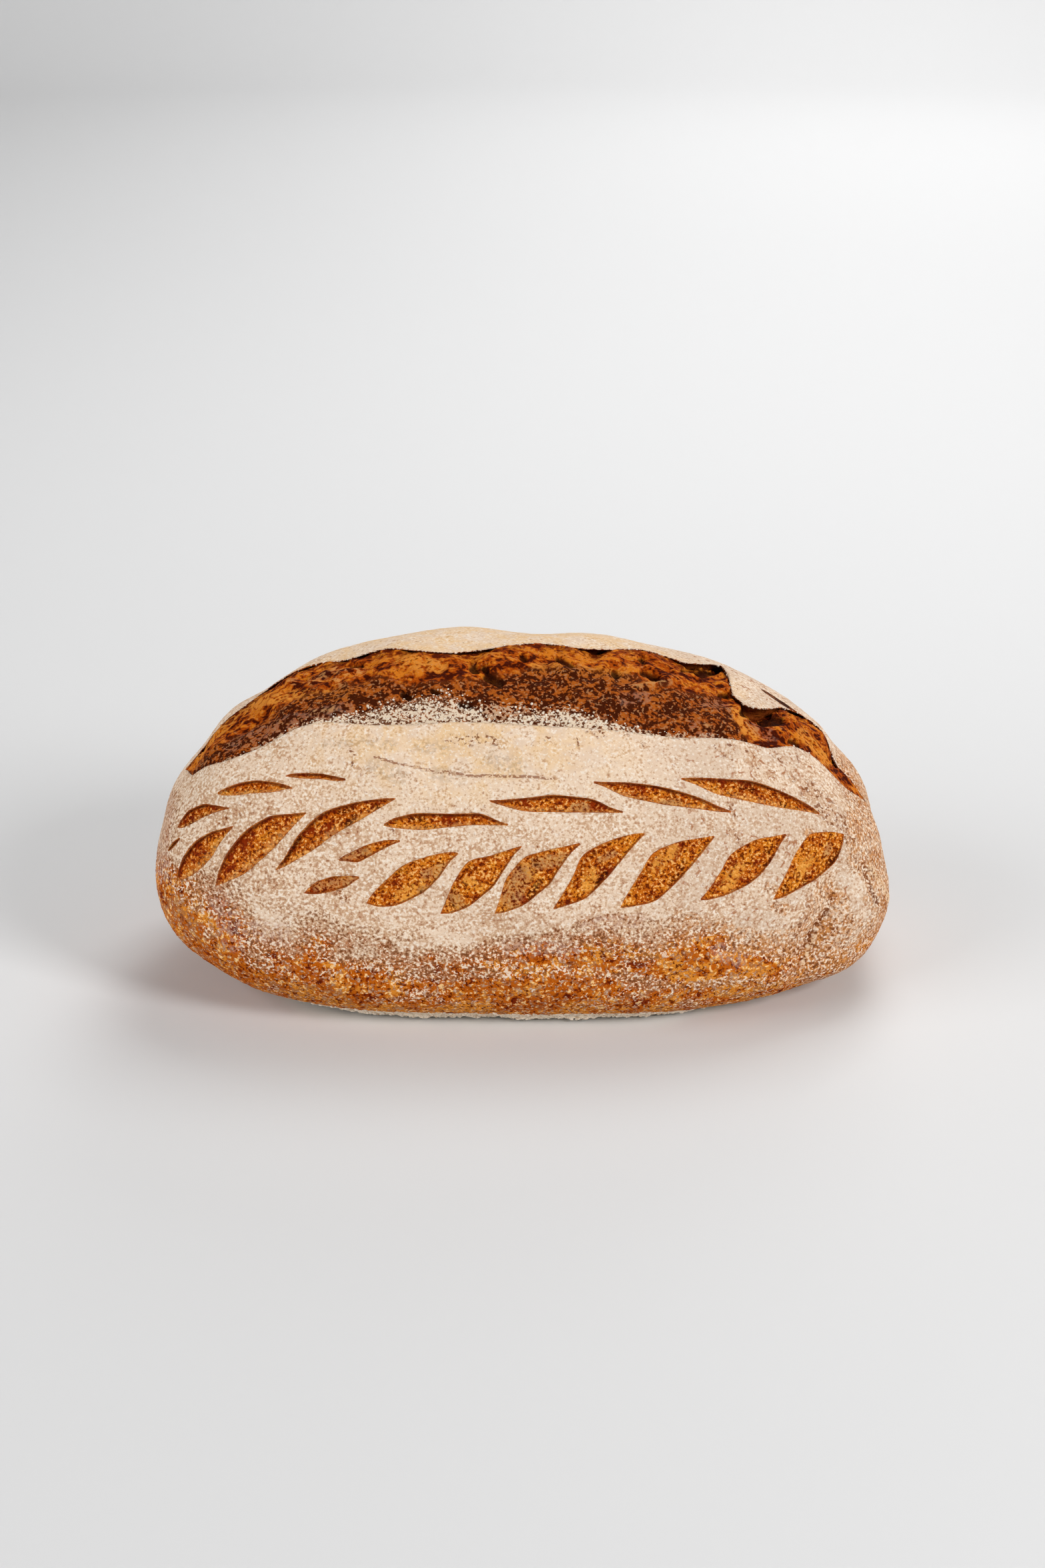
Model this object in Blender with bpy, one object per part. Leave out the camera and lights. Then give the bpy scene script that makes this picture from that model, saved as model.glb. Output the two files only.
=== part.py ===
"""Wholemeal sourdough loaf, a batard baked on a stone and scored with two ears of wheat.

The loaf is one solid: a rounded body with a flat base, a long cut along its crown that opened
in the oven under an overhanging ear of crust, and twenty leaf-shaped scoring cuts on its front.
The loaf lies along X, its scored side faces -Y, and it rests on Z = 0.
"""

import math

import bmesh
import bpy
from mathutils import Vector
from mathutils.bvhtree import BVHTree

# The body: an oval heap of dough, a little deeper at the back, flat where it rested.
HALF_LENGTH = 0.135
FRONT_DEPTH = 0.068
BACK_DEPTH = 0.078
HEIGHT = 0.125
WIDEST_HEIGHT = 0.030
UNDER_DEPTH = 0.0336
PLAN_SQUARENESS = 2.8
CROWN_SQUARENESS = 2.1
UNDER_SQUARENESS = 3.2
CROWN_LEAN = 0.06
LEFT_END_RISE = 0.016
RISE_START = 0.050
SIDEWAYS_SWING = 0.012
BODY_CUTS = 19

# The middle of the loaf's footprint, which is put at the origin.
FOOTPRINT_MIDDLE = (-0.0011, 0.0051)

# Slow swellings of the crust and the folds of the right end.
SWELL = 0.0007
SWELL_WAVE = 0.046
FRONT_CREASE = ((0.1105, 0.048), (0.1030, 0.029), (0.1000, 0.006))
FRONT_CREASE_DEPTH = 0.0022
FRONT_CREASE_WIDTH = 0.0050
END_FOLD = ((0.010, 0.078), (0.002, 0.061), (-0.003, 0.048), (-0.006, 0.030), (-0.008, 0.010))
END_FOLD_DEPTH = 0.0030
END_FOLD_WIDTH = 0.0045
END_FOLD_START = 0.108
END_STEP = 0.0028
END_STEP_FADE = 0.045
FRONT_LOBE = (0.124, -0.026, 0.038)
FRONT_LOBE_HEIGHT = 0.0034
FRONT_LOBE_WIDTH = 0.021

# The crown cut, seen from above: its lower lip at the front and the edge of the ear behind it.
LIP_LINE = (
    (-0.1240, -0.0080), (-0.1180, -0.0270), (-0.1020, -0.0355), (-0.0800, -0.0358),
    (-0.0500, -0.0393), (-0.0200, -0.0400), (0.0170, -0.0390), (0.0520, -0.0356),
    (0.0850, -0.0255), (0.0980, -0.0155), (0.1080, -0.0118), (0.1150, -0.0112),
    (0.1235, -0.0045),
)
EAR_LINE = (
    (-0.1240, -0.0040), (-0.1180, 0.0000), (-0.1070, 0.0040), (-0.0930, 0.0080),
    (-0.0790, 0.0090), (-0.0660, 0.0040), (-0.0520, 0.0000), (-0.0400, -0.0065),
    (-0.0300, -0.0080), (-0.0120, -0.0040), (0.0030, -0.0010), (0.0190, 0.0010),
    (0.0340, 0.0060), (0.0440, 0.0120), (0.0560, 0.0100), (0.0640, 0.0150),
    (0.0710, 0.0210), (0.0735, 0.0140), (0.0750, -0.0030), (0.0800, -0.0075),
    (0.0870, -0.0030), (0.0940, 0.0100), (0.1010, 0.0190), (0.1080, 0.0200),
    (0.1140, 0.0110), (0.1190, 0.0020), (0.1235, -0.0015),
)
STATION_GAP = 0.0065
SKIN_THICKNESS = 0.0012
EAR_THICKNESS = 0.0022
CUT_DEPTH = 0.0060
UNDERCUT = 0.0065
CAVE_PLACE = 0.085
CAVE_LENGTH = 0.010
CAVE_DEPTH = 0.0050
CRUMB_RELIEF = 0.0009
CRUMB_WAVE = 0.013
FLOOR_STEPS = 7
END_TAPER = 0.030

# The scoring is laid out on a slanted plane that faces the baker: x runs along the loaf and
# t climbs the front. Each cut is (x, t) of its lower left tip, (x, t) of its other tip, how
# far its upper and lower edges stand off the line between the tips, and where they do so most.
SCORING_TILT = math.radians(24)
LEFT_EAR = (
    (-0.0830, 0.0645, -0.0570, 0.0633, 0.0013, 0.0013, 0.50),
    (-0.1080, 0.0583, -0.0790, 0.0603, 0.0034, 0.0012, 0.50),
    (-0.1220, 0.0464, -0.1015, 0.0532, 0.0038, 0.0004, 0.52),
    (-0.1270, 0.0370, -0.1200, 0.0433, 0.0009, 0.0007, 0.50),
    (-0.1230, 0.0267, -0.1000, 0.0472, 0.0048, 0.0040, 0.44),
    (-0.1065, 0.0264, -0.0740, 0.0522, 0.0092, 0.0034, 0.47),
    (-0.0860, 0.0313, -0.0425, 0.0575, 0.0092, 0.0005, 0.47),
)
RIGHT_EAR = (
    (-0.0480, 0.0479, -0.0030, 0.0483, 0.0050, 0.0003, 0.44),
    (-0.0110, 0.0570, 0.0370, 0.0535, 0.0041, 0.0023, 0.53),
    (0.0228, 0.0644, 0.0732, 0.0545, 0.0041, 0.0027, 0.58),
    (0.0560, 0.0654, 0.1055, 0.0539, 0.0061, 0.0028, 0.53),
    (-0.0637, 0.0352, -0.0400, 0.0427, 0.0025, 0.0026, 0.45),
    (-0.0753, 0.0238, -0.0550, 0.0297, 0.0035, 0.0021, 0.42),
    (-0.0535, 0.0206, -0.0207, 0.0388, 0.0064, 0.0064, 0.52),
    (-0.0276, 0.0173, 0.0010, 0.0412, 0.0082, 0.0044, 0.46),
    (-0.0086, 0.0176, 0.0218, 0.0429, 0.0096, 0.0043, 0.46),
    (0.0114, 0.0193, 0.0439, 0.0467, 0.0078, 0.0048, 0.48),
    (0.0350, 0.0203, 0.0683, 0.0461, 0.0085, 0.0054, 0.48),
    (0.0625, 0.0232, 0.0938, 0.0471, 0.0059, 0.0066, 0.50),
    (0.0888, 0.0235, 0.1141, 0.0466, 0.0088, 0.0052, 0.60),
)
LEAF_LOWER_PEAK = 0.42
LEAF_STATIONS = 8
LEAF_UPPER_DEPTH = 0.0022
LEAF_MIDDLE_DEPTH = 0.0016
LEAF_LOWER_DEPTH = 0.0009
BLADE_CLEARANCE = 0.020

CRUST_COLOUR = (0.47, 0.30, 0.16, 1.0)
CRUST_ROUGHNESS = 0.8


def bell(distance, width):
    """A smooth bump of height 1 that fades out over about two widths."""
    return math.exp(-((distance / width) ** 2))


def smooth_step(value, start, end):
    """Rises smoothly from 0 at start to 1 at end."""
    part = min(max((value - start) / (end - start), 0.0), 1.0)
    return part * part * (3 - 2 * part)


def line_at(points, x):
    """Height at x of a smooth line through points, with no overshoot between them."""
    slopes = [(b[1] - a[1]) / (b[0] - a[0]) for a, b in zip(points, points[1:])]
    index = 0
    while index < len(points) - 2 and x > points[index + 1][0]:
        index += 1

    def slope_at(knot):
        if knot == 0 or knot == len(points) - 1:
            return slopes[min(knot, len(slopes) - 1)]
        before, after = slopes[knot - 1], slopes[knot]
        if before * after <= 0:
            return 0.0
        return 2 * before * after / (before + after)

    (x0, y0), (x1, y1) = points[index], points[index + 1]
    span = x1 - x0
    part = min(max((x - x0) / span, 0.0), 1.0)
    rise = part * part * (3 - 2 * part)
    lead = part * (1 - part) ** 2 * slope_at(index) * span
    trail = part * part * (1 - part) * slope_at(index + 1) * span
    return y0 + (y1 - y0) * rise + lead - trail


def away_from(points, u, v):
    """Distance of (u, v) from the broken line through points."""
    here = Vector((u, v))
    best = math.inf
    for start, end in zip(points, points[1:]):
        a, b = Vector(start), Vector(end)
        along = min(max((here - a).dot(b - a) / (b - a).length_squared, 0.0), 1.0)
        best = min(best, (here - a - (b - a) * along).length)
    return best


def across_at(points, v):
    """First coordinate, at height v, of the broken line that falls through points."""
    for start, end in zip(points, points[1:]):
        if v >= end[1]:
            part = min((start[1] - v) / (start[1] - end[1]), 1.0)
            return start[0] + (end[0] - start[0]) * max(part, 0.0)
    return points[-1][0]


def body_point(direction):
    """Point of the smooth loaf in a direction from its heart."""
    nx, ny, nz = direction
    upright = CROWN_SQUARENESS if nz > 0 else UNDER_SQUARENESS
    plan = (abs(nx) ** PLAN_SQUARENESS + abs(ny) ** PLAN_SQUARENESS) ** (1 / PLAN_SQUARENESS)
    reach = (plan**upright + abs(nz) ** upright) ** (-1 / upright)
    x = HALF_LENGTH * nx * reach
    y = (BACK_DEPTH if ny > 0 else FRONT_DEPTH) * ny * reach
    z = WIDEST_HEIGHT + (HEIGHT - WIDEST_HEIGHT if nz > 0 else UNDER_DEPTH) * nz * reach
    along = x / HALF_LENGTH
    z *= 1 - CROWN_LEAN * along * min(max(z / HEIGHT, 0.0), 1.0)
    if x < -RISE_START:
        rise = LEFT_END_RISE * ((-x - RISE_START) / (HALF_LENGTH - RISE_START)) ** 2
        z += rise * (1 - z / HEIGHT)
    y += SIDEWAYS_SWING * along * abs(along)
    return Vector((x, y, z))


def relief(point):
    """How far the crust stands off the smooth loaf: swellings, two creases and the end's lobe."""
    x, y, z = point
    wave = 2 * math.pi / SWELL_WAVE
    swell = math.sin(wave * x + 1.3) * math.cos(wave * 0.9 * y + 0.4)
    swell += 0.7 * math.sin(wave * 1.7 * z + wave * 0.6 * x + 2.1)
    height = SWELL * swell * smooth_step(z, 0.0, 0.02)
    above_base = smooth_step(z, 0.002, 0.026)
    front = smooth_step(-y, 0.0, 0.02) * smooth_step(x, 0.07, 0.09) * above_base
    height -= FRONT_CREASE_DEPTH * front * bell(away_from(FRONT_CREASE, x, z), FRONT_CREASE_WIDTH)
    end = smooth_step(x, END_FOLD_START, END_FOLD_START + 0.012) * above_base
    behind = y - across_at(END_FOLD, z)
    height -= END_FOLD_DEPTH * end * bell(behind, END_FOLD_WIDTH)
    step = smooth_step(behind, -0.001, 0.004) * (1 - smooth_step(behind, 0.010, END_STEP_FADE))
    height -= END_STEP * end * step
    height += FRONT_LOBE_HEIGHT * bell((point - Vector(FRONT_LOBE)).length, FRONT_LOBE_WIDTH)
    return height


def make_body(collection):
    """A rounded cube drawn out to the loaf's form and cut flat where it rests."""
    mesh = bmesh.new()
    bmesh.ops.create_cube(mesh, size=2)
    bmesh.ops.subdivide_edges(mesh, edges=mesh.edges, cuts=BODY_CUTS, use_grid_fill=True)
    for vertex in mesh.verts:
        vertex.co = body_point(vertex.co.normalized())
    mesh.normal_update()
    moves = [vertex.normal * relief(vertex.co) for vertex in mesh.verts]
    for vertex, move in zip(mesh.verts, moves):
        vertex.co += move
    cut = bmesh.ops.bisect_plane(
        mesh,
        geom=mesh.verts[:] + mesh.edges[:] + mesh.faces[:],
        plane_co=(0, 0, 0),
        plane_no=(0, 0, -1),
        clear_outer=True,
    )
    rim = [item for item in cut["geom_cut"] if isinstance(item, bmesh.types.BMEdge)]
    bmesh.ops.contextual_create(mesh, geom=rim)
    bmesh.ops.recalc_face_normals(mesh, faces=mesh.faces)
    skin_faces = [face for face in mesh.faces if len(face.verts) <= 4]
    bmesh.ops.triangulate(mesh, faces=skin_faces)
    data = bpy.data.meshes.new("loaf")
    mesh.to_mesh(data)
    mesh.free()
    body = bpy.data.objects.new("loaf", data)
    collection.objects.link(body)
    return body


def add_cutter(name, points, faces, collection):
    """A closed cutter from its points and faces, hidden from the render."""
    mesh = bmesh.new()
    corners = [mesh.verts.new(point) for point in points]
    for face in faces:
        mesh.faces.new([corners[index] for index in face])
    bmesh.ops.recalc_face_normals(mesh, faces=mesh.faces)
    bmesh.ops.triangulate(mesh, faces=mesh.faces)
    data = bpy.data.meshes.new(name)
    mesh.to_mesh(data)
    mesh.free()
    cutter = bpy.data.objects.new(name, data)
    cutter.display_type = "WIRE"
    cutter.hide_render = True
    collection.objects.link(cutter)
    return cutter


def crumb_bump(x, y):
    """The torn crumb's slow unevenness."""
    wave = 2 * math.pi / CRUMB_WAVE
    bump = math.sin(wave * x + 2 * math.sin(wave * 0.37 * y)) * math.cos(wave * 0.8 * y + 0.9)
    bump += 0.8 * math.sin(wave * 0.43 * x - wave * 0.5 * y + 0.6)
    return CRUMB_RELIEF * bump


def crown_height(skin, x, y):
    """Height of the uncut crown above (x, y)."""
    place, _, _, _ = skin.ray_cast(Vector((x, y, 2 * HEIGHT)), Vector((0, 0, -1)))
    return place.z


def crown_section(skin, x):
    """The crown cut's outline across the loaf at x: floor, undercut, ear edge and open air."""
    lip = line_at(LIP_LINE, x)
    ear = line_at(EAR_LINE, x)
    width = ear - lip
    taper = smooth_step(width, 0.0, END_TAPER)
    cave = bell(x - CAVE_PLACE, CAVE_LENGTH)
    deep = CUT_DEPTH * (0.35 + 0.65 * taper) + CAVE_DEPTH * cave
    root = ear + UNDERCUT * (0.2 + 0.8 * taper) * (1 + 0.4 * cave)
    section = []
    for step in range(FLOOR_STEPS + 1):
        part = step / FLOOR_STEPS
        y = lip + (root - lip) * part
        depth = SKIN_THICKNESS + (deep - SKIN_THICKNESS) * part**0.7
        bump = crumb_bump(x, y) * math.sin(math.pi * part) * taper
        section.append(Vector((x, y, crown_height(skin, x, y) - depth + bump)))
    edge = crown_height(skin, x, ear)
    section.append(Vector((x, (ear + root) / 2, crown_height(skin, x, (ear + root) / 2) - EAR_THICKNESS)))
    section.append(Vector((x, ear, edge - EAR_THICKNESS * 0.6)))
    section.append(Vector((x, ear, HEIGHT + BLADE_CLEARANCE)))
    section.append(Vector((x, lip, HEIGHT + BLADE_CLEARANCE)))
    return section


def make_crown_cutter(skin, collection):
    """A loft along the loaf through the crown cut's sections."""
    stations = sorted({x for x, _ in EAR_LINE} | {x for x, _ in LIP_LINE})
    places = [stations[0]]
    for place in stations[1:]:
        pieces = max(1, math.ceil((place - places[-1]) / STATION_GAP))
        start = places[-1]
        places += [start + (place - start) * (k + 1) / pieces for k in range(pieces)]
    sections = [crown_section(skin, x) for x in places]
    ring = len(sections[0])
    points = [point for section in sections for point in section]
    faces = [list(range(ring)), [len(points) - ring + k for k in range(ring)]]
    for row in range(len(sections) - 1):
        for k in range(ring):
            a, b = row * ring + k, row * ring + (k + 1) % ring
            faces.append([a, b, b + ring, a + ring])
    return add_cutter("crown_cutter", points, faces, collection)


def leaf_edge(part, peak):
    """Stand-off of a leaf's edge from the line between its tips, 1 where it is widest."""
    rise, fall = 2 * peak, 2 * (1 - peak)
    return (part / peak) ** rise * ((1 - part) / (1 - peak)) ** fall


def make_leaf_cutter(skin, name, leaf, collection):
    """A pocket under one scoring cut: walls along the blade and a floor that follows the loaf."""
    x0, t0, x1, t1, upper, lower, peak = leaf
    start, end = Vector((x0, t0)), Vector((x1, t1))
    chord = end - start
    across = Vector((-chord.y, chord.x)).normalized()
    blade = Vector((0, math.cos(SCORING_TILT), -math.sin(SCORING_TILT)))
    climb = Vector((0, math.sin(SCORING_TILT), math.cos(SCORING_TILT)))

    def place(flat, depth):
        origin = Vector((flat.x, 0, 0)) + climb * flat.y - blade * 4 * HEIGHT
        point, normal, _, _ = skin.ray_cast(origin, blade)
        slant = max(-normal.dot(blade), 0.35)
        return point + blade * (depth / slant)

    rows = []
    for station in range(1, LEAF_STATIONS):
        part = station / LEAF_STATIONS
        middle = start + chord * part
        top = middle + across * upper * leaf_edge(part, peak)
        bottom = middle - across * lower * leaf_edge(part, LEAF_LOWER_PEAK)
        fade = min(1.0, 2.5 * min(part, 1 - part))
        inner = top.lerp(bottom, 0.4)
        rows.append((
            place(top, -BLADE_CLEARANCE),
            place(top, LEAF_UPPER_DEPTH * fade),
            place(inner, LEAF_MIDDLE_DEPTH * fade),
            place(bottom, LEAF_LOWER_DEPTH * fade),
            place(bottom, -BLADE_CLEARANCE),
        ))
    points = [point for row in rows for point in row]
    ring = 5
    faces = []
    for row in range(len(rows) - 1):
        for k in range(ring):
            a, b = row * ring + k, row * ring + (k + 1) % ring
            faces.append([a, b, b + ring, a + ring])
    for tip, row in ((start, 0), (end, len(rows) - 1)):
        base = len(points)
        points += [place(tip, -BLADE_CLEARANCE), place(tip, 0.1 * LEAF_LOWER_DEPTH)]
        first = row * ring
        faces += [
            [base, first, first + 1, base + 1],
            [base + 1, first + 1, first + 2],
            [base + 1, first + 2, first + 3],
            [base + 1, first + 3, first + 4, base],
            [base, first + 4, first],
        ]
    return add_cutter(name, points, faces, collection)


def crust_material():
    """Baked crust: matt brown with flour on it."""
    material = bpy.data.materials.new("baked_crust")
    material.use_nodes = True
    shader = material.node_tree.nodes["Principled BSDF"]
    shader.inputs["Base Color"].default_value = CRUST_COLOUR
    shader.inputs["Roughness"].default_value = CRUST_ROUGHNESS
    shader.inputs["Metallic"].default_value = 0.0
    return material


def build():
    """The loaf, its cutters and the empty that puts its footprint over the origin."""
    for item in list(bpy.data.objects):
        bpy.data.objects.remove(item)
    loaf_collection = bpy.data.collections.new("sourdough_loaf")
    cutter_collection = bpy.data.collections.new("cutters")
    bpy.context.scene.collection.children.link(loaf_collection)
    bpy.context.scene.collection.children.link(cutter_collection)

    body = make_body(loaf_collection)
    body.data.materials.append(crust_material())
    shell = bmesh.new()
    shell.from_mesh(body.data)
    skin = BVHTree.FromBMesh(shell)
    shell.free()
    make_crown_cutter(skin, cutter_collection)
    for number, leaf in enumerate(LEFT_EAR + RIGHT_EAR, 1):
        make_leaf_cutter(skin, f"leaf_cutter_{number:02d}", leaf, cutter_collection)

    scoring = body.modifiers.new("scoring", "BOOLEAN")
    scoring.operation = "DIFFERENCE"
    scoring.operand_type = "COLLECTION"
    scoring.collection = cutter_collection
    scoring.solver = "EXACT"

    footprint = bpy.data.objects.new("footprint_middle", None)
    footprint.location = (-FOOTPRINT_MIDDLE[0], -FOOTPRINT_MIDDLE[1], 0)
    loaf_collection.objects.link(footprint)
    for item in [body] + list(cutter_collection.objects):
        item.parent = footprint


build()
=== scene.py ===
"""Looks of a wholemeal sourdough loaf: floured crust, torn crown, leaf scoring and loose flour.

The loaf is drawn in its own frame, x along it and its scored side towards -y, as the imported
solid is, and the finished mesh is then moved with that frame onto the middle of its footprint.
"""

import math

import bpy
import numpy as np
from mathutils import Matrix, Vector, geometry, kdtree


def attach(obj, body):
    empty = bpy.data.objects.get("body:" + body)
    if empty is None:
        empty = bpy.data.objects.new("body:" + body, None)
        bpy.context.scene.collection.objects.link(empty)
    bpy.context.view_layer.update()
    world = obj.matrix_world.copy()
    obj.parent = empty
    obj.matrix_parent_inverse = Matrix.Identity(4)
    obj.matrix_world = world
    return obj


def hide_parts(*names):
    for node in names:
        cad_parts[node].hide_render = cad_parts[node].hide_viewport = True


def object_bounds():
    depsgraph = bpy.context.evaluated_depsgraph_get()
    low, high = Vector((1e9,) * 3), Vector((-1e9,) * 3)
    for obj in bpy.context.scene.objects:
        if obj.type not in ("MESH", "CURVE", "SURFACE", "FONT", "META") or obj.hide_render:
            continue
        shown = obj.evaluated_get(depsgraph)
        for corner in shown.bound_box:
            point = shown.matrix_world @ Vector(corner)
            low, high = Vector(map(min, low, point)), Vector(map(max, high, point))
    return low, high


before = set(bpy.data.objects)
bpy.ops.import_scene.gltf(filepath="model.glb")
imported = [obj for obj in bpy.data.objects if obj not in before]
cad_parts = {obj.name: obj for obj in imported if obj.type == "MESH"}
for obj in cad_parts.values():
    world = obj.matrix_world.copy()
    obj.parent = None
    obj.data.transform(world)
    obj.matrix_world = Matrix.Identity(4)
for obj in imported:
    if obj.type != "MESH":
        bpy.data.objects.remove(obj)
CAD_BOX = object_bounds()


# The body of dough. A batard of about 1 kg, proved in a floured basket and baked on stone: an
# oval heap, a little deeper at the back, with slow swellings and two folds at its right end.
# A direction from the loaf's heart names each place on its skin.
HALF_LENGTH = 0.135
FRONT_DEPTH = 0.068
BACK_DEPTH = 0.078
HEIGHT = 0.125
WIDEST_HEIGHT = 0.03
UNDER_DEPTH = 0.0336
PLAN_SQUARENESS = 2.8
CROWN_SQUARENESS = 2.1
UNDER_SQUARENESS = 3.2
CROWN_LEAN = 0.06
LEFT_END_RISE = 0.016
RISE_START = 0.05
SIDEWAYS_SWING = 0.012
FOOTPRINT_MIDDLE = np.array([-0.0011, 0.0051, 0])
SWELL = 0.0007
SWELL_WAVE = 0.046
FRONT_CREASE = ((0.1105, 0.048), (0.103, 0.029), (0.1, 0.006))
FRONT_CREASE_DEPTH = 0.0022
FRONT_CREASE_WIDTH = 0.005
END_FOLD = ((0.01, 0.078), (0.002, 0.061), (-0.003, 0.048), (-0.006, 0.03), (-0.008, 0.01))
END_FOLD_DEPTH = 0.003
END_FOLD_WIDTH = 0.0045
END_FOLD_START = 0.108
END_STEP = 0.0028
END_STEP_FADE = 0.045
FRONT_LOBE = (0.124, -0.026, 0.038)
FRONT_LOBE_HEIGHT = 0.0034
FRONT_LOBE_WIDTH = 0.021
SCORING_TILT = math.radians(24)
BLADE = np.array([0, math.cos(SCORING_TILT), -math.sin(SCORING_TILT)])


def bell(distance, width):
    """A smooth bump of height 1 that fades out over about two widths."""
    return np.exp(-((distance / width) ** 2))


def smooth_step(value, start, end):
    """Rises smoothly from 0 at start to 1 at end."""
    part = np.clip((value - start) / (end - start), 0, 1)
    return part * part * (3 - 2 * part)


def line_at(points, x):
    """Height at x of a smooth line through points, with no overshoot between them."""
    knots, heights = np.array(points, float).T
    spans = np.diff(knots)
    slopes = np.diff(heights) / spans
    before, after = slopes[:-1], slopes[1:]
    total = before + after
    middle = np.where(before * after > 0, 2 * before * after / np.where(total == 0, 1, total), 0)
    tilts = np.concatenate([slopes[:1], middle, slopes[-1:]])
    index = np.clip(np.searchsorted(knots, x, side="right") - 1, 0, len(spans) - 1)
    span = spans[index]
    part = np.clip((x - knots[index]) / span, 0, 1)
    rise = part * part * (3 - 2 * part)
    lead = part * (1 - part) ** 2 * tilts[index] * span
    trail = part * part * (1 - part) * tilts[index + 1] * span
    return heights[index] + (heights[index + 1] - heights[index]) * rise + lead - trail


def away_from(points, u, v):
    """Distance of each (u, v) from the broken line through points."""
    here = np.stack([u, v], -1)
    best = np.full(np.shape(u), np.inf)
    for start, end in zip(points, points[1:]):
        a, b = np.array(start), np.array(end)
        along = np.clip((here - a) @ (b - a) / ((b - a) @ (b - a)), 0, 1)
        best = np.minimum(best, np.linalg.norm(here - a - along[..., None] * (b - a), axis=-1))
    return best


def lean_and_swing(x, y, z):
    """The body's unevenness: a lower right side, a raised left end and a swing in plan."""
    along = x / HALF_LENGTH
    z = z * (1 - CROWN_LEAN * along * np.clip(z / HEIGHT, 0, 1))
    rise = LEFT_END_RISE * (np.clip(-x - RISE_START, 0, None) / (HALF_LENGTH - RISE_START)) ** 2
    return np.stack([x, y + SIDEWAYS_SWING * along * abs(along), z + rise * (1 - z / HEIGHT)], -1)


def plan_reach(across, deep):
    """How far out a place of the loaf's plan is, 1 at its outline."""
    return (abs(across) ** PLAN_SQUARENESS + abs(deep) ** PLAN_SQUARENESS) ** (1 / PLAN_SQUARENESS)


def arch(part):
    """The crown's height at a part of the way out, or the way out at a part of its height."""
    return (1 - part**CROWN_SQUARENESS) ** (1 / CROWN_SQUARENESS)


def body_point(direction):
    """Points of the smooth loaf in directions from its heart."""
    nx, ny, nz = direction.T
    upright = np.where(nz > 0, CROWN_SQUARENESS, UNDER_SQUARENESS)
    reach = (plan_reach(nx, ny) ** upright + abs(nz) ** upright) ** (-1 / upright)
    depth = np.where(ny > 0, BACK_DEPTH, FRONT_DEPTH)
    tall = np.where(nz > 0, HEIGHT - WIDEST_HEIGHT, UNDER_DEPTH)
    return lean_and_swing(
        HALF_LENGTH * nx * reach, depth * ny * reach, WIDEST_HEIGHT + tall * nz * reach
    )


def behind_fold(point):
    """How far each point lies behind the fold of the right end."""
    fold_y, fold_z = np.array(END_FOLD[::-1]).T
    return point[:, 1] - np.interp(point[:, 2], fold_z, fold_y)


def relief(point):
    """How far the crust stands off the smooth loaf: swellings, two creases and the end's lobe."""
    x, y, z = point.T
    wave = 2 * math.pi / SWELL_WAVE
    swell = np.sin(wave * x + 1.3) * np.cos(wave * 0.9 * y + 0.4)
    swell += 0.7 * np.sin(wave * 1.7 * z + wave * 0.6 * x + 2.1)
    height = SWELL * swell * smooth_step(z, 0, 0.02)
    above_base = smooth_step(z, 0.002, 0.026)
    front = smooth_step(-y, 0, 0.02) * smooth_step(x, 0.07, 0.09) * above_base
    height -= FRONT_CREASE_DEPTH * front * bell(away_from(FRONT_CREASE, x, z), FRONT_CREASE_WIDTH)
    end = smooth_step(x, END_FOLD_START, END_FOLD_START + 0.012) * above_base
    behind = behind_fold(point)
    height -= END_FOLD_DEPTH * end * bell(behind, END_FOLD_WIDTH)
    step = smooth_step(behind, -0.001, 0.004) * (1 - smooth_step(behind, 0.01, END_STEP_FADE))
    height -= END_STEP * end * step
    off_lobe = np.linalg.norm(point - np.array(FRONT_LOBE), axis=1)
    return height + FRONT_LOBE_HEIGHT * bell(off_lobe, FRONT_LOBE_WIDTH)


def unit(vectors):
    """The same vectors at length 1."""
    return vectors / np.linalg.norm(vectors, axis=-1, keepdims=True)


def skin(direction):
    """Points of the crust in directions from the heart, and which way it faces there."""
    tiny = 1e-3
    lift = np.where(abs(direction[:, 2:]) < 0.9, [[0, 0, 1]], [[0, 1, 0]])
    side = unit(np.cross(lift, direction))
    point = body_point(direction)
    one = body_point(unit(direction + tiny * side)) - point
    other = body_point(unit(direction + tiny * np.cross(direction, side))) - point
    facing = unit(np.cross(one, other))
    return point + facing * relief(point)[:, None], facing


def over_plan(x, y):
    """Directions of the crown's places above (x, y)."""
    across = x / HALF_LENGTH
    off = y - SIDEWAYS_SWING * across * abs(across)
    deep = off / np.where(off > 0, BACK_DEPTH, FRONT_DEPTH)
    plan = np.clip(plan_reach(across, deep), 0, 0.9999)
    return unit(np.stack([across, deep, arch(plan)], -1))


def before_blade(x, t):
    """Directions of the front's places that a blade meets at (x, t) of the scoring plane."""
    across = np.clip(x / HALF_LENGTH, -0.999, 0.999)
    low = np.zeros_like(x)
    high = arch(abs(across)) * 0.9999
    for _ in range(30):
        up = (low + high) / 2
        rest = np.clip(arch(up) ** PLAN_SQUARENESS - abs(across) ** PLAN_SQUARENESS, 0, None)
        deep = rest ** (1 / PLAN_SQUARENESS)
        height = WIDEST_HEIGHT + (HEIGHT - WIDEST_HEIGHT) * up
        place = lean_and_swing(x, -FRONT_DEPTH * deep, height)
        too_high = scoring_plane(place)[1] > t
        high = np.where(too_high, up, high)
        low = np.where(too_high, low, up)
    return unit(np.stack([across, -deep, up], -1))


def scoring_plane(point):
    """The places (x, t) of points on the slanted plane that the scoring is laid out on."""
    return point[:, 0], point[:, 2] * math.cos(SCORING_TILT) + point[:, 1] * math.sin(SCORING_TILT)


def settle(wanted, to_direction, to_plane):
    """Directions whose places on the crust, relief included, fall on the wanted ones."""
    place = wanted
    for _ in range(3):
        direction = to_direction(*place.T)
        place = place + wanted - np.column_stack(to_plane(skin(direction)[0]))
    return direction


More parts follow.
